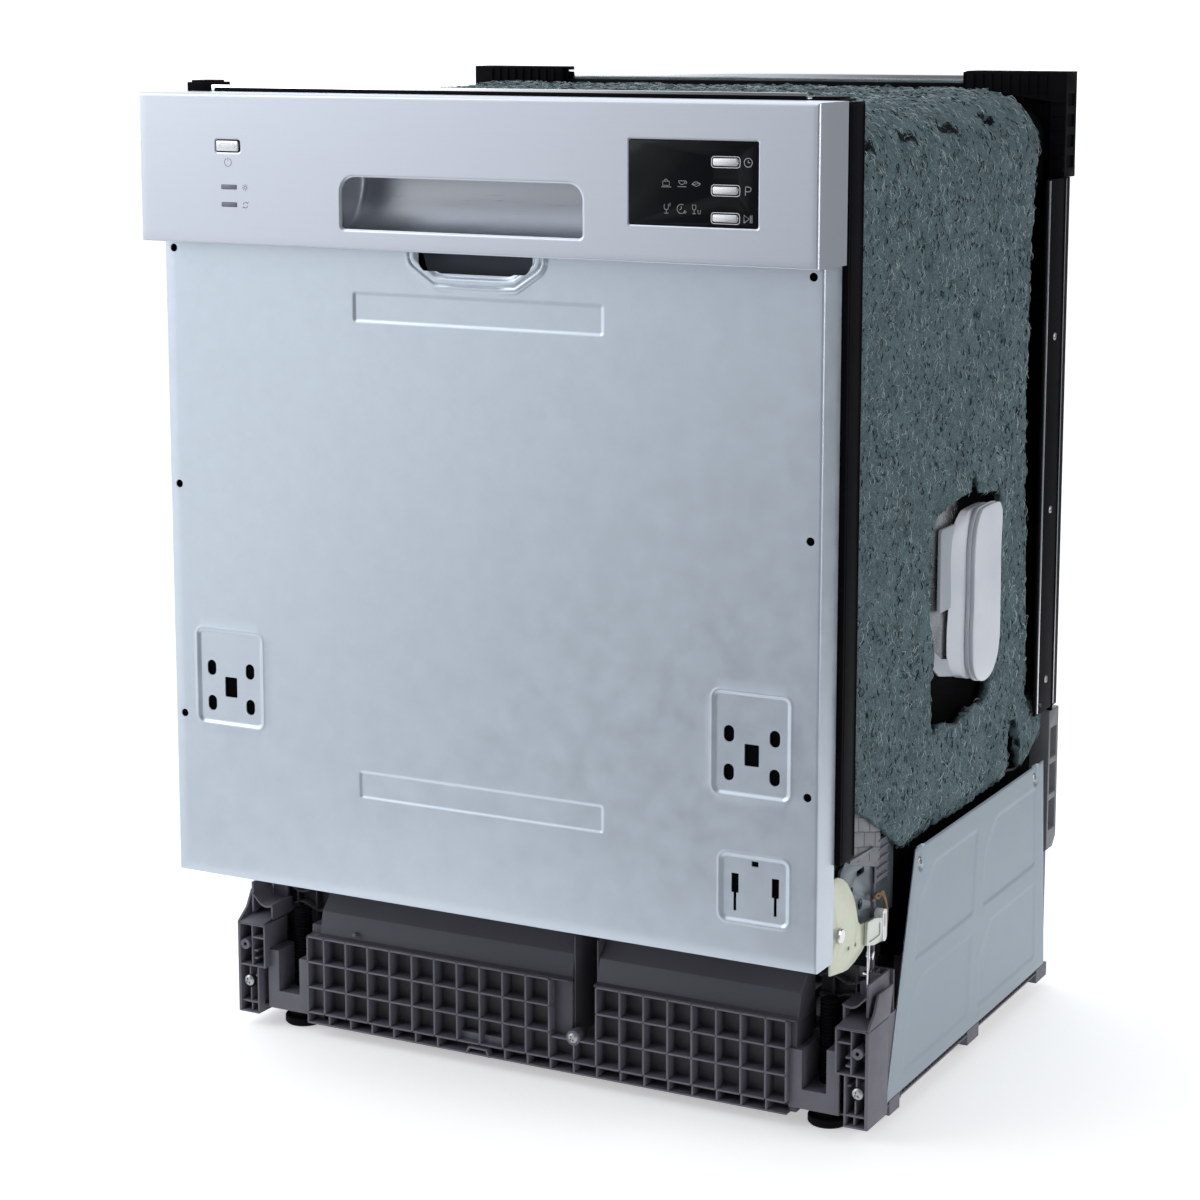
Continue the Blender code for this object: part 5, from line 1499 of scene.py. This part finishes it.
def make_hinge_bracket(side, word):
    """The chassis plate that carries the hinge pin, and the door's bent lever over it."""
    span = spans(side)
    bm = bmesh.new()
    plate = arc(HINGE_Y, HINGE_Z, 12, 96, 255, 12)
    plate += [(84, 174), (96, 171), (150, 169), (205, 168), (205, 232), (110, 236), (96, 226),
              (92, 200), (78, 196)]
    prism(bm, plate, "X", *span(279.0, 281.4))
    prism(bm, [(100, 233.4), (150, 231.6), (150, 234.0), (100, 236.0)], "X", *span(279.2, 287.6))
    cut = bmesh.new()
    for y, z, r in ((118, 206, 3.0), (136, 190, 4.5), (186, 212, 5)):
        drum(cut, y, z, r, "X", *span(270, 300))
    prism(cut, rounded(104, 109, 178, 196, 2.5), "X", *span(270, 300))
    prism(cut, rounded(128, 144, 214, 219, 2.5), "X", *span(270, 300))
    piece("hinge_plate_" + word, bm, "steel", "chassis", replaces=("hinge_bracket_" + word,),
          bevel=0.3, cut=cut)
    bm = bmesh.new()
    lathe(bm, (side * 281.0, HINGE_Y, HINGE_Z), [(4.0, 0), (4.0, 4.2), (0, 4.2), (0, 0)], "X", 24)
    drum(bm, 118, 178, 5.4, "X", *span(281.2, 284.2), 6)
    piece("hinge_pin_" + word, bm, "polished", "chassis", bevel=0.2)
    bm = bmesh.new()
    prism(bm, [(124, 161), (140, 157), (155, 156), (156, 160), (156, 175), (140, 179), (125, 180)],
          "X", *span(290.2, 292.6))
    block(bm, *span(288.0, 290.4), 151, 156, 158, 175)
    cut = bmesh.new()
    prism(cut, rounded(129, 152, 162, 173, 2), "X", *span(291.6, 300))
    piece("hinge_lever_" + word, bm, "lever", "door", bevel=0.4, steps=3,
          cut=cut)


def make_spring_parts(side, word):
    """Brick-patterned spring cover, rope clip and strut, and the rope's visible end."""
    span = spans(side)
    bm = bmesh.new()
    prism(bm, [(97, 233), (168, 212), (168, 262), (97, 274)], "X", *span(280.5, 284.5))
    for row in range(3):
        for col in range(4):
            y = 98.5 + 23.0 * col - (11 if row % 2 else 0)
            z = 235 + 12.2 * row - 0.25 * (y - 97)
            low, high = max(y, 97.5), min(y + 22.2, 167)
            drop = 0.25 * (high - low)
            if high - low > 5:
                brick = [(low, z), (high, z - drop), (high, z + 11.4 - drop), (low, z + 11.4)]
                prism(bm, brick, "X", *span(284.0, 285.4))
    piece("spring_cover_" + word, bm, "cover_grey", "chassis",
          bevel=0.5)
    bm = bmesh.new()
    prism(bm, rounded(157, 166, 162, 180, 3), "X", *span(285, 292.4))
    prism(bm, rounded(163, 171, 152, 167, 4), "X", *span(285, 290.5))
    cut = bmesh.new()
    prism(cut, rounded(159, 163.6, 166, 177, 2), "X", *span(290.5, 294))
    piece("rope_clip_" + word, bm, "white", "chassis", bevel=0.6,
          cut=cut)
    bm = bmesh.new()
    block(bm, *span(283, 284.6), 148, 151.5, 108, 160)
    block(bm, *span(279.5, 284.0), 148, 164, 128, 130)
    drum(bm, 157, 142, 4.2, "X", *span(280.0, 285.5), 8)
    piece("hinge_strut_" + word, bm, "polished", "chassis",
          bevel=0.4)
    loops = [[(285 + 1.6 * k, 152, 188 + 5 * k), (286 + k, 160, 192 - 3 * k),
              (287, 169, 189 + 3 * k), (288, 176, 176), (288, 174, 160 + k), (287, 167, 151)]
             for k in range(2)]
    mesh = tube_mesh("spring_link", [smooth_run([(side * x, y, z) for x, y, z in loop])
                                     for loop in loops], 1.2)
    piece("spring_link_" + word, mesh, "copper", "chassis", angle=60)
    bm = bmesh.new()
    block(bm, *span(268, 279.0), 155, 215, 132, 226)
    piece("spring_box_" + word, bm, "black", "chassis", bevel=0.8)


def make_spring_posts():
    """Grey ribbed posts of the base behind the hinges, and a black sheet of painted shade in the
    gap above the side covers.
    """
    for side, word in SIDES:
        span = spans(side)
        bm = bmesh.new()
        block(bm, *span(272, 283.5), 160, 163.5, 122, 236)
        block(bm, *span(281.5, 284.0), 160, 186, 200, 236)
        for k in range(5):
            block(bm, *span(274, 286.0), 163, 184, 204 + 7.5 * k, 205.4 + 7.5 * k)
        piece("spring_post_" + word, bm, "grey", "chassis", bevel=0.5)
        # Black sheet in the gap above the side cover: painted shade.
        bm = bmesh.new()
        prism(bm, [(186, 150), (204, 236), (262, 240), (500, 240), (543, 258), (543, 120),
                   (186, 120)], "X", *span(276.6, 279.0))
        run = [(side * 283.5, 206 + 20 * k, 217.8 + 1.6 * math.sin(2.1 * k)) for k in range(16)]
        piece("side_gap_shade_" + word, bm, "painted_shadow", "chassis", bevel=0.4)
        piece("side_wire_" + word, tube_mesh("wire", [smooth_run(run)], 1.1), "rubber", "chassis",
              angle=60)


def make_side_strips():
    """Black edge strips beside the door, and the tub's own edge behind them."""
    for side, word in SIDES:
        span = spans(side)
        bm = bmesh.new()
        ell = [(284.5, 57.8), (296.5, 57.8), (296.5, 86.0), (294.9, 86.0), (294.9, 59.6),
               (284.5, 59.6)]
        prism(bm, flipped(side, ell), "Z", 244, 819)
        block(bm, *span(296.3, 297.1), 83.2, 84.2, 246, 817)
        block(bm, *span(296.3, 296.9), 61.0, 61.6, 246, 817)
        piece("edge_strip_" + word, bm, "black", "chassis", replaces=("side_strip_" + word,),
              bevel=0.25)
        bm = bmesh.new()
        block(bm, *span(283.2, 284.3), 60.2, 86.4, 244, 812)
        block(bm, *span(283.2, 292.0), 86.2, 87.0, 270, 812)
        piece("tub_edge_" + word, bm, "shade", "chassis", bevel=0.3)


def make_rear():
    """Black corner posts and caps, black sheets of painted shade in the gaps beside them, and the
    bar between.
    """
    for side, word in SIDES:
        span = spans(side)
        bm = bmesh.new()
        ell = [(284.5, 558.5), (284.5, 561.0), (297.0, 561.0), (297.0, 502.0), (294.5, 502.0),
               (294.5, 558.5)]
        prism(bm, flipped(side, ell), "Z", 262, 739.6)
        for z in (300, 360, 420, 480, 540, 600, 660, 716):
            block(bm, *span(293.6, 296.0), 506, 556, z - 1, z + 1)
        piece("corner_post_" + word, bm, "black", "chassis", replaces=("rear_post_" + word,),
              bevel=0.4)
        # Black sheets beside the posts and round the felt's shoulder: painted shade in the gaps.
        bm = bmesh.new()
        block(bm, *span(276.4, 277.6), 470, 546, 262, 770)
        block(bm, *span(262, 297.4), 547, 549.4, 258, 744)
        corner = [(200, 806), (226, 800), (250, 786), (266, 765), (270, 740), (297.4, 740),
                  (297.4, 831), (200, 831)]
        prism(bm, flipped(side, corner), "Y", 547, 549.4)
        block(bm, *span(277, 284), 545, 549, 740, 826)
        wrap = arc(250, 774, 28.4, 0, 90, 8) + [(200, 802.4), (200, 800.6)]
        wrap += arc(250, 774, 26.6, 90, 0, 8)
        prism(bm, flipped(side, wrap), "Y", 484, 547)
        for z in (330, 470, 610):
            block(bm, *span(277.4, 280.5), 512, 546, z, z + 2)
        piece("corner_shade_" + word, bm, "painted_shadow", "chassis", bevel=0.3)
        bm = bmesh.new()
        block(bm, *span(296.2, 298.3), 504.2, 506.4, 264, 739)
        block(bm, *span(296.2, 297.7), 549.6, 550.8, 264, 739)
        piece("corner_trim_" + word, bm, "polished", "chassis", bevel=0.25)
        for z in (291, 446, 601):
            screw(f"post_screw_{word}_{z}", side * 298.5, 529, z, "X", 3.4, out=side)
        bm = bmesh.new()
        cap = [(205, 832), (298, 832), (298, 740), (284, 740), (284, 806), (205, 817)]
        prism(bm, flipped(side, cap), "Y", 541, 570)
        for k in range(9):
            x = 212 + 8.4 * k
            block(bm, *span(x - 0.7, x + 0.7), 539.6, 541.6, 812.4, 830)
        for k in range(6):
            z = 746 + 12 * k
            block(bm, *span(284.5, 297), 539.6, 541.6, z - 0.7, z + 0.7)
        cut = bmesh.new()
        for k in range(5):
            x = 218 + 15 * k
            prism(cut, rounded(side * x - 4.6, side * x + 4.6, 546, 565, 1.5), "Z", 829.4, 835)
        for k in range(4):
            prism(cut, rounded(546, 565, 748 + 18 * k, 759 + 18 * k, 1.5), "X", *span(295.8, 300))
        drum(cut, side * 291, 822, 3.4, "Y", 566, 575)
        piece("corner_cap_" + word, bm, "black", "chassis", replaces=("rear_cap_" + word,),
              bevel=0.8, steps=3, cut=cut)
        refined("rear_upright_" + word, "cover_grey", "chassis", 0.8, 3)
        refined("rack_rail_" + word, "stainless", "chassis", 0.25)
    refined("rear_top_bar", "polished", "chassis", 0.9, 3)
    bm = bmesh.new()
    for x in (-204, 204):
        lathe(bm, (x, 561, 818.5), [(0, 10.2), (5.5, 10.0), (6.4, 8.6), (6.4, 2), (4, 0.6),
                                    (0, 0.6)], "Z", 24)
    piece("bar_rollers", bm, "white", "chassis")


# ------------------------------------------------------------------ door liner, seal and tub

def make_top_edge():
    """Trim behind the top of the control panel, and the flange under the rear bar."""
    bm = bmesh.new()
    block(bm, -266, 262, 56.5, 59.5, 816.5, 825.2)
    block(bm, -266, 262, 59.0, 76.0, 819.4, 821.0)
    piece("top_trim", bm, "polished", "chassis", bevel=0.5)
    bm = bmesh.new()
    for x0, x1, high in ((-290, -266.4, 827.0), (262.4, 290, 821.0)):
        block(bm, x0, x1, 56.5, 84, 819.4, high)
        block(bm, x0 + 3, x1 - 3, 58.5, 80, high - 0.5, high + 1.6)
    block(bm, -262, 262, 54.6, 56.2, 817.0, 823.0)
    block(bm, -204, 204, 549.6, 552.0, 786, 820.5)
    piece("top_gasket", bm, "black", "chassis", bevel=0.5)


def make_door_inside():
    """Liner, dispenser with its lid and rinse cap, latch and the tub's seal."""
    refined("door_liner", "stainless", "door", 1.3, 4, name="liner_pan")
    bm = bmesh.new()
    for z in (238, 268, 300, 640, 676, 712):
        bead = [(-228, z - 4), (228, z - 4), (234, z), (228, z + 4), (-228, z + 4), (-234, z)]
        prism(bm, bead, "Y", 56.5, 59.0)
    for x0, x1 in ((-236, -120), (92, 236)):
        for z in (500, 540, 580):
            bead = [(x0, z - 4), (x1, z - 4), (x1 + 5, z), (x1, z + 4), (x0, z + 4), (x0 - 5, z)]
            prism(bm, bead, "Y", 56.5, 59.0)
    piece("liner_beads", bm, "stainless", "door", bevel=1.6, steps=3)
    refined("detergent_dispenser", "rack_grey", "door", 1.2, 3)
    bm = bmesh.new()
    prism(bm, rounded(-88, -4, 482, 588, 9, 6), "Y", 70.4, 73.4)
    prism(bm, rounded(-80, -12, 490, 572, 6, 6), "Y", 72.8, 74.0)
    prism(bm, rounded(-58, -34, 575, 586, 3, 4), "Y", 73.0, 76.0)
    cut = bmesh.new()
    for k in range(7):
        prism(cut, rounded(-72, -20, 500 + 9 * k, 502 + 9 * k, 1, 2), "Y", 73.5, 76)
    piece("detergent_lid", bm, "rack_grey", "dispenser_lid", replaces=("dispenser_lid",),
          bevel=0.7, steps=3, cut=cut)
    cap_x, cap_z = 32, 520
    y0, y1 = (v[1] / MM + HALF_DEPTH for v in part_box("rinse_aid_cap"))
    deep = y1 - y0
    profile = [(0, deep - 0.2), (5, deep - 0.2), (6, deep), (14.6, deep), (16.2, deep - 1.2),
               (16.2, 0.6), (15.4, 0), (0, 0)]
    bm = bmesh.new()
    lathe(bm, (cap_x, y0, cap_z), profile, "Y", 44)
    cut = bmesh.new()
    for turn in (0.5, 0.5 + math.pi):
        c, s = math.cos(turn), math.sin(turn)
        slot = [(4.5, -1.2), (13, -1.2), (13, 1.2), (4.5, 1.2)]
        turned = [(cap_x + c * a - s * b, cap_z + s * a + c * b) for a, b in slot]
        prism(cut, turned, "Y", y1 - 2, y1 + 2)
    for u, v in around(cap_x, cap_z, 16.7, 24):
        drum(cut, u, v, 0.9, "Y", y0 + 1, y1 + 1, 8)
    piece("rinse_cap_ribbed", bm, "blue", "rinse_aid_cap", replaces=("rinse_aid_cap",), bevel=0.3,
          cut=cut)
    refined("door_latch", "black", "door", 0.6, 3)
    run = [(-270.2, 66.5, 205), (-270.2, 66.5, 770), (-268, 66.5, 782), (-258, 66.5, 792),
           (-246, 66.5, 794.2), (246, 66.5, 794.2), (258, 66.5, 792), (268, 66.5, 782),
           (270.2, 66.5, 770), (270.2, 66.5, 205)]
    piece("seal_bulb", tube_mesh("seal", [run], 3.9, sides=4), "rubber", "chassis",
          replaces=("door_seal",), angle=60)
    lip = [(x * 0.9925, 62.9, z - (3.2 if z > 700 else 0)) for x, _, z in run]
    piece("seal_lip", tube_mesh("seal", [lip], 1.0), "rubber", "chassis",
          angle=60)


def make_tub():
    """The tub with its beads, and the parts in and under its floor."""
    refined("tub", "stainless", "chassis", 0.35)
    bm = bmesh.new()
    for side in (-1, 1):
        for z in (250, 300, 360, 420, 470, 640, 690, 740):
            prism(bm, rounded(120, 480, z - 5, z + 5, 5, 5), "X", *spans(side)(272.4, 275.0))
    for x in (-180, -90, 90, 180):
        prism(bm, rounded(x - 6, x + 6, 240, 740, 6, 5), "Y", 540.4, 544.0)
    piece("tub_beads", bm, "stainless", "chassis", bevel=1.5, steps=3)
    refined("tub_front_rail", "polished", "chassis", 0.5)
    for name, look in (("sump", "rack_grey"), ("feed_pipe", "white"),
                       ("circulation_pump", "rack_grey"), ("drain_pump", "black"),
                       ("softener_tank", "white"), ("inlet_valve", "white")):
        refined(name, look, "chassis", 0.7)
    refined("filter_plate", "stainless", "chassis", 0.3)


def wire_rack(name, half, y0, y1, z0, z1, pitch, tines, drop=None):
    """Coated wire basket: rims, a floor grid that turns up the walls, and tines outside a gap."""
    def loop(inset, z):
        outline = rounded(-half + inset, half - inset, y0 + inset, y1 - inset, 24.0)
        return [(u, v, z) for u, v in outline]

    def spaced(lo, hi, gap):
        count = int((hi - lo) / gap)
        return [lo + (hi - lo) * k / count for k in range(count + 1)]

    def bends(lo, hi, knee, low, floor):
        """A wire's course: down one wall, over the floor and up the other."""
        down = [(2.4, z1 - 2.5), (3.4, z0 + knee), (10, z0 + low), (20, z0 + floor)]
        return [(lo + u, z) for u, z in down] + [(hi - u, z) for u, z in reversed(down)]
    rims = [loop(2.4, z1 - 2.4), loop(2.2, (z0 + z1) / 2 + 6), loop(6.0, z0 + 14)]
    piece(name + "_rims", tube_mesh(name, rims, 2.1, cyclic=True, sides=3), "wire", name,
          angle=60)
    runs = [[(x, y, z) for y, z in bends(y0, y1, 12, 3, 2)]
            for x in spaced(-half + 15, half - 15, pitch)]
    runs += [[(x, y, z) for x, z in bends(-half, half, 14, 6.5, 5.6)]
             for y in spaced(y0 + 15, y1 - 15, pitch)]
    piece(name + "_wires", tube_mesh(name, runs, 1.5), "wire", name, replaces=(name,), angle=60)
    prongs = []
    for row_y in tines:
        y = y0 + (y1 - y0) * row_y
        for x in spaced(-half + 35, half - 35, 22):
            if drop and drop[0] < x < drop[1] and drop[2] < y < drop[3]:
                continue
            prongs.append([(x, y, z0 + 5), (x, y + 1.5, z0 + 22), (x, y + 8, z0 + 58)])
        prongs.append([(-half + 30, y, z0 + 5.6), (half - 30, y, z0 + 5.6)])
    piece(name + "_tines", tube_mesh(name, prongs, 1.6), "wire", name, angle=60)


WHEEL_Z = 197


def make_racks():
    """Both wire racks with their handles, and the lower rack's wheels."""
    wire_rack("upper_rack", 255, 92, 500, 502, 600, 26, (0.22, 0.40, 0.60, 0.78))
    wire_rack("lower_rack", 252, 108, 508, 219, 330, 28, (0.30, 0.46, 0.62, 0.80),
              (86, 240, 100, 205))
    for body, y, z in (("upper_rack", 92, 590), ("lower_rack", 108, 320)):
        bm = bmesh.new()
        prism(bm, rounded(-60, 60, z - 8, z + 8, 6, 5), "Y", y + 0.3, y + 5.5)
        cut = bmesh.new()
        for k in range(5):
            x = -48 + 20 * k
            prism(cut, rounded(x, x + 14, z - 3, z + 3, 2.5, 4), "Y", y - 1, y + 1.6)
        piece(body + "_handle", bm, "rack_grey", body, bevel=0.8, steps=3, cut=cut)
    for end, y in (("front", 195.0), ("rear", 455.0)):
        for side, word in SIDES:
            name = f"rack_wheel_{end}_{word}"
            bm = bmesh.new()
            profile = [(0, 2.2), (4.5, 2.2), (5.5, 3.0), (13.4, 3.0), (14.4, 1.2), (15.4, 0.4),
                       (17.6, 0.4), (18.0, 1.2), (18.0, 8.8), (17.6, 9.6), (15.4, 9.6),
                       (14.4, 8.4), (13.4, 7.0), (5.5, 7.0), (4.5, 8.2), (0, 8.2)]
            lathe(bm, (min(side * 238.0, side * 248.0), y, WHEEL_Z), profile, "X", 40)
            cut = bmesh.new()
            for u, v in around(y, WHEEL_Z, 9.4, 6):
                drum(cut, u, v, 2.8, "X", *spans(side)(236, 250), 16)
            piece(name + "_tyre", bm, "white", name, replaces=(name,), cut=cut)


ARM_Y = 300
NOZZLES = (-0.93, -0.76, -0.55, -0.34, 0.34, 0.55, 0.76, 0.93)      # parts of an arm's reach


def make_spray_arms():
    """Two S-shaped blades with nozzles and a hub."""
    for name, z, reach in (("lower_spray_arm", 197.0, 216.0), ("upper_spray_arm", 478.0, 205.0)):
        top, hub = z + 12.0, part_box(name)[0][2] / MM - z
        half = [(reach, 4), (reach - 6, 15), (reach * 0.6, 19), (40, 17), (22, 23)]
        shape = flipped(-1, half) + [(0, 27)] + half[::-1]
        shape = [(u, ARM_Y + v) for u, v in shape] + [(-u, ARM_Y - v) for u, v in shape]
        curve = smooth_run(shape + shape[:1], 4)[:-1]
        curve = [(max(-reach, min(reach, u)), v) for u, v in curve]
        bm = bmesh.new()
        prism(bm, curve[::-1], "Z", z + 0.2, top - 0.2)
        piece(name + "_blade", bm, "stainless", name, replaces=(name,), bevel=3.6, steps=5,
              angle=60)
        bm = bmesh.new()
        for k, x in enumerate(NOZZLES):
            profile = [(1.2, -3), (1.2, 0.5), (2.2, 0.7), (4.0, 0.4), (4.6, -0.6), (4.6, -3),
                       (1.2, -3)]
            lathe(bm, (x * reach, ARM_Y + (6 if k % 2 else -6), top - 0.5), profile, "Z", 20)
        lathe(bm, (0, ARM_Y, z), [(0, hub), (10.6, hub), (11.0, hub + 0.5), (11.0, 1.5),
                                  (13.5, 2.5), (15.5, 9), (13, 11.6), (0, 11.8)], "Z", 36)
        piece(name + "_nozzles", bm, "stainless", name, angle=40)


def make_filter():
    """Ribbed filter cup with a cross bar to turn it by."""
    bm = bmesh.new()
    z0, z1 = (v[2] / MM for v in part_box("filter_cup"))
    tall = z1 - z0
    profile = [(0, 3), (30, 3), (33, 4.5), (34.4, 7)]
    z = 8.0
    while z < tall - 8:
        profile += [(34.4, z), (33.6, z + 0.8), (33.6, z + 1.6), (34.4, z + 2.4)]
        z += 3.2
    profile += [(34.4, tall - 5), (35, tall - 4), (35, tall - 0.6), (34, tall), (29, tall),
                (28.4, tall - 3), (28.4, 8), (26, 6), (0, 6)]
    lathe(bm, (50, 340, z0), profile, "Z", 44)
    block(bm, 46.5, 53.5, 312.5, 367.5, z1 - 9, z1 - 3)
    piece("filter_basket", bm, "rack_grey", "filter_cup", replaces=("filter_cup",), angle=40)


def make_basket():
    """Cutlery basket: four pockets of ribbed lattice with a rim."""
    x0, x1, y0, y1, z0, z1 = 96.0, 232.0, 116.0, 190.0, 226.5, 320.0
    bm = bmesh.new()
    block(bm, x0, x1, y0, y1, z0, z0 + 2.4)
    for z in (z0 + 22, z0 + 44, z0 + 66, z1 - 3.2):
        tall = 3.2 if z > z1 - 4 else 1.8
        for y in (y0, y1 - 2):
            block(bm, x0, x1, y, y + 2, z, z + tall)
        for x in (x0, x1 - 2):
            block(bm, x, x + 2, y0, y1, z, z + tall)
    for k in range(17):
        x = x0 + (x1 - x0 - 1.6) * k / 16
        for y in (y0 + 0.1, y1 - 1.7):
            block(bm, x, x + 1.6, y, y + 1.6, z0, z1 - 1)
    for k in range(9):
        y = y0 + (y1 - y0 - 1.6) * k / 8
        for x in (x0 + 0.1, x1 - 1.7):
            block(bm, x, x + 1.6, y, y + 1.6, z0, z1 - 1)
    for x in (130.0, 164.0, 198.0):
        for z in (z0 + 10, z0 + 34, z0 + 58, z1 - 5):
            block(bm, x - 0.9, x + 0.9, y0 + 1, y1 - 1, z, z + 3.0)
        for k in range(4):
            y = y0 + 14 + 15 * k
            block(bm, x - 0.8, x + 0.8, y, y + 1.6, z0 + 1, z1 - 3)
    piece("basket_lattice", bm, "rack_grey", "cutlery_basket", replaces=("cutlery_basket",),
          bevel=0.3, angle=40)


make_camera()
make_studio()
MATERIALS = make_materials()
dress_cad()
make_panel()
make_handle_cup()
make_window_and_keys()
make_symbols()
make_door_sheet()
make_base_front()
for side, word in SIDES:
    make_foot_bay(side, word)
    make_column(side, word)
    make_side_plate(side, word)
make_base_rest()
make_feet()
make_fibres(make_felt())
make_breather()
for side, word in SIDES:
    make_hinge_arm(side, word)
    make_hinge_bracket(side, word)
    make_spring_parts(side, word)
make_spring_posts()
make_top_edge()
make_side_strips()
make_rear()
make_door_inside()
make_tub()
make_racks()
make_spray_arms()
make_filter()
make_basket()
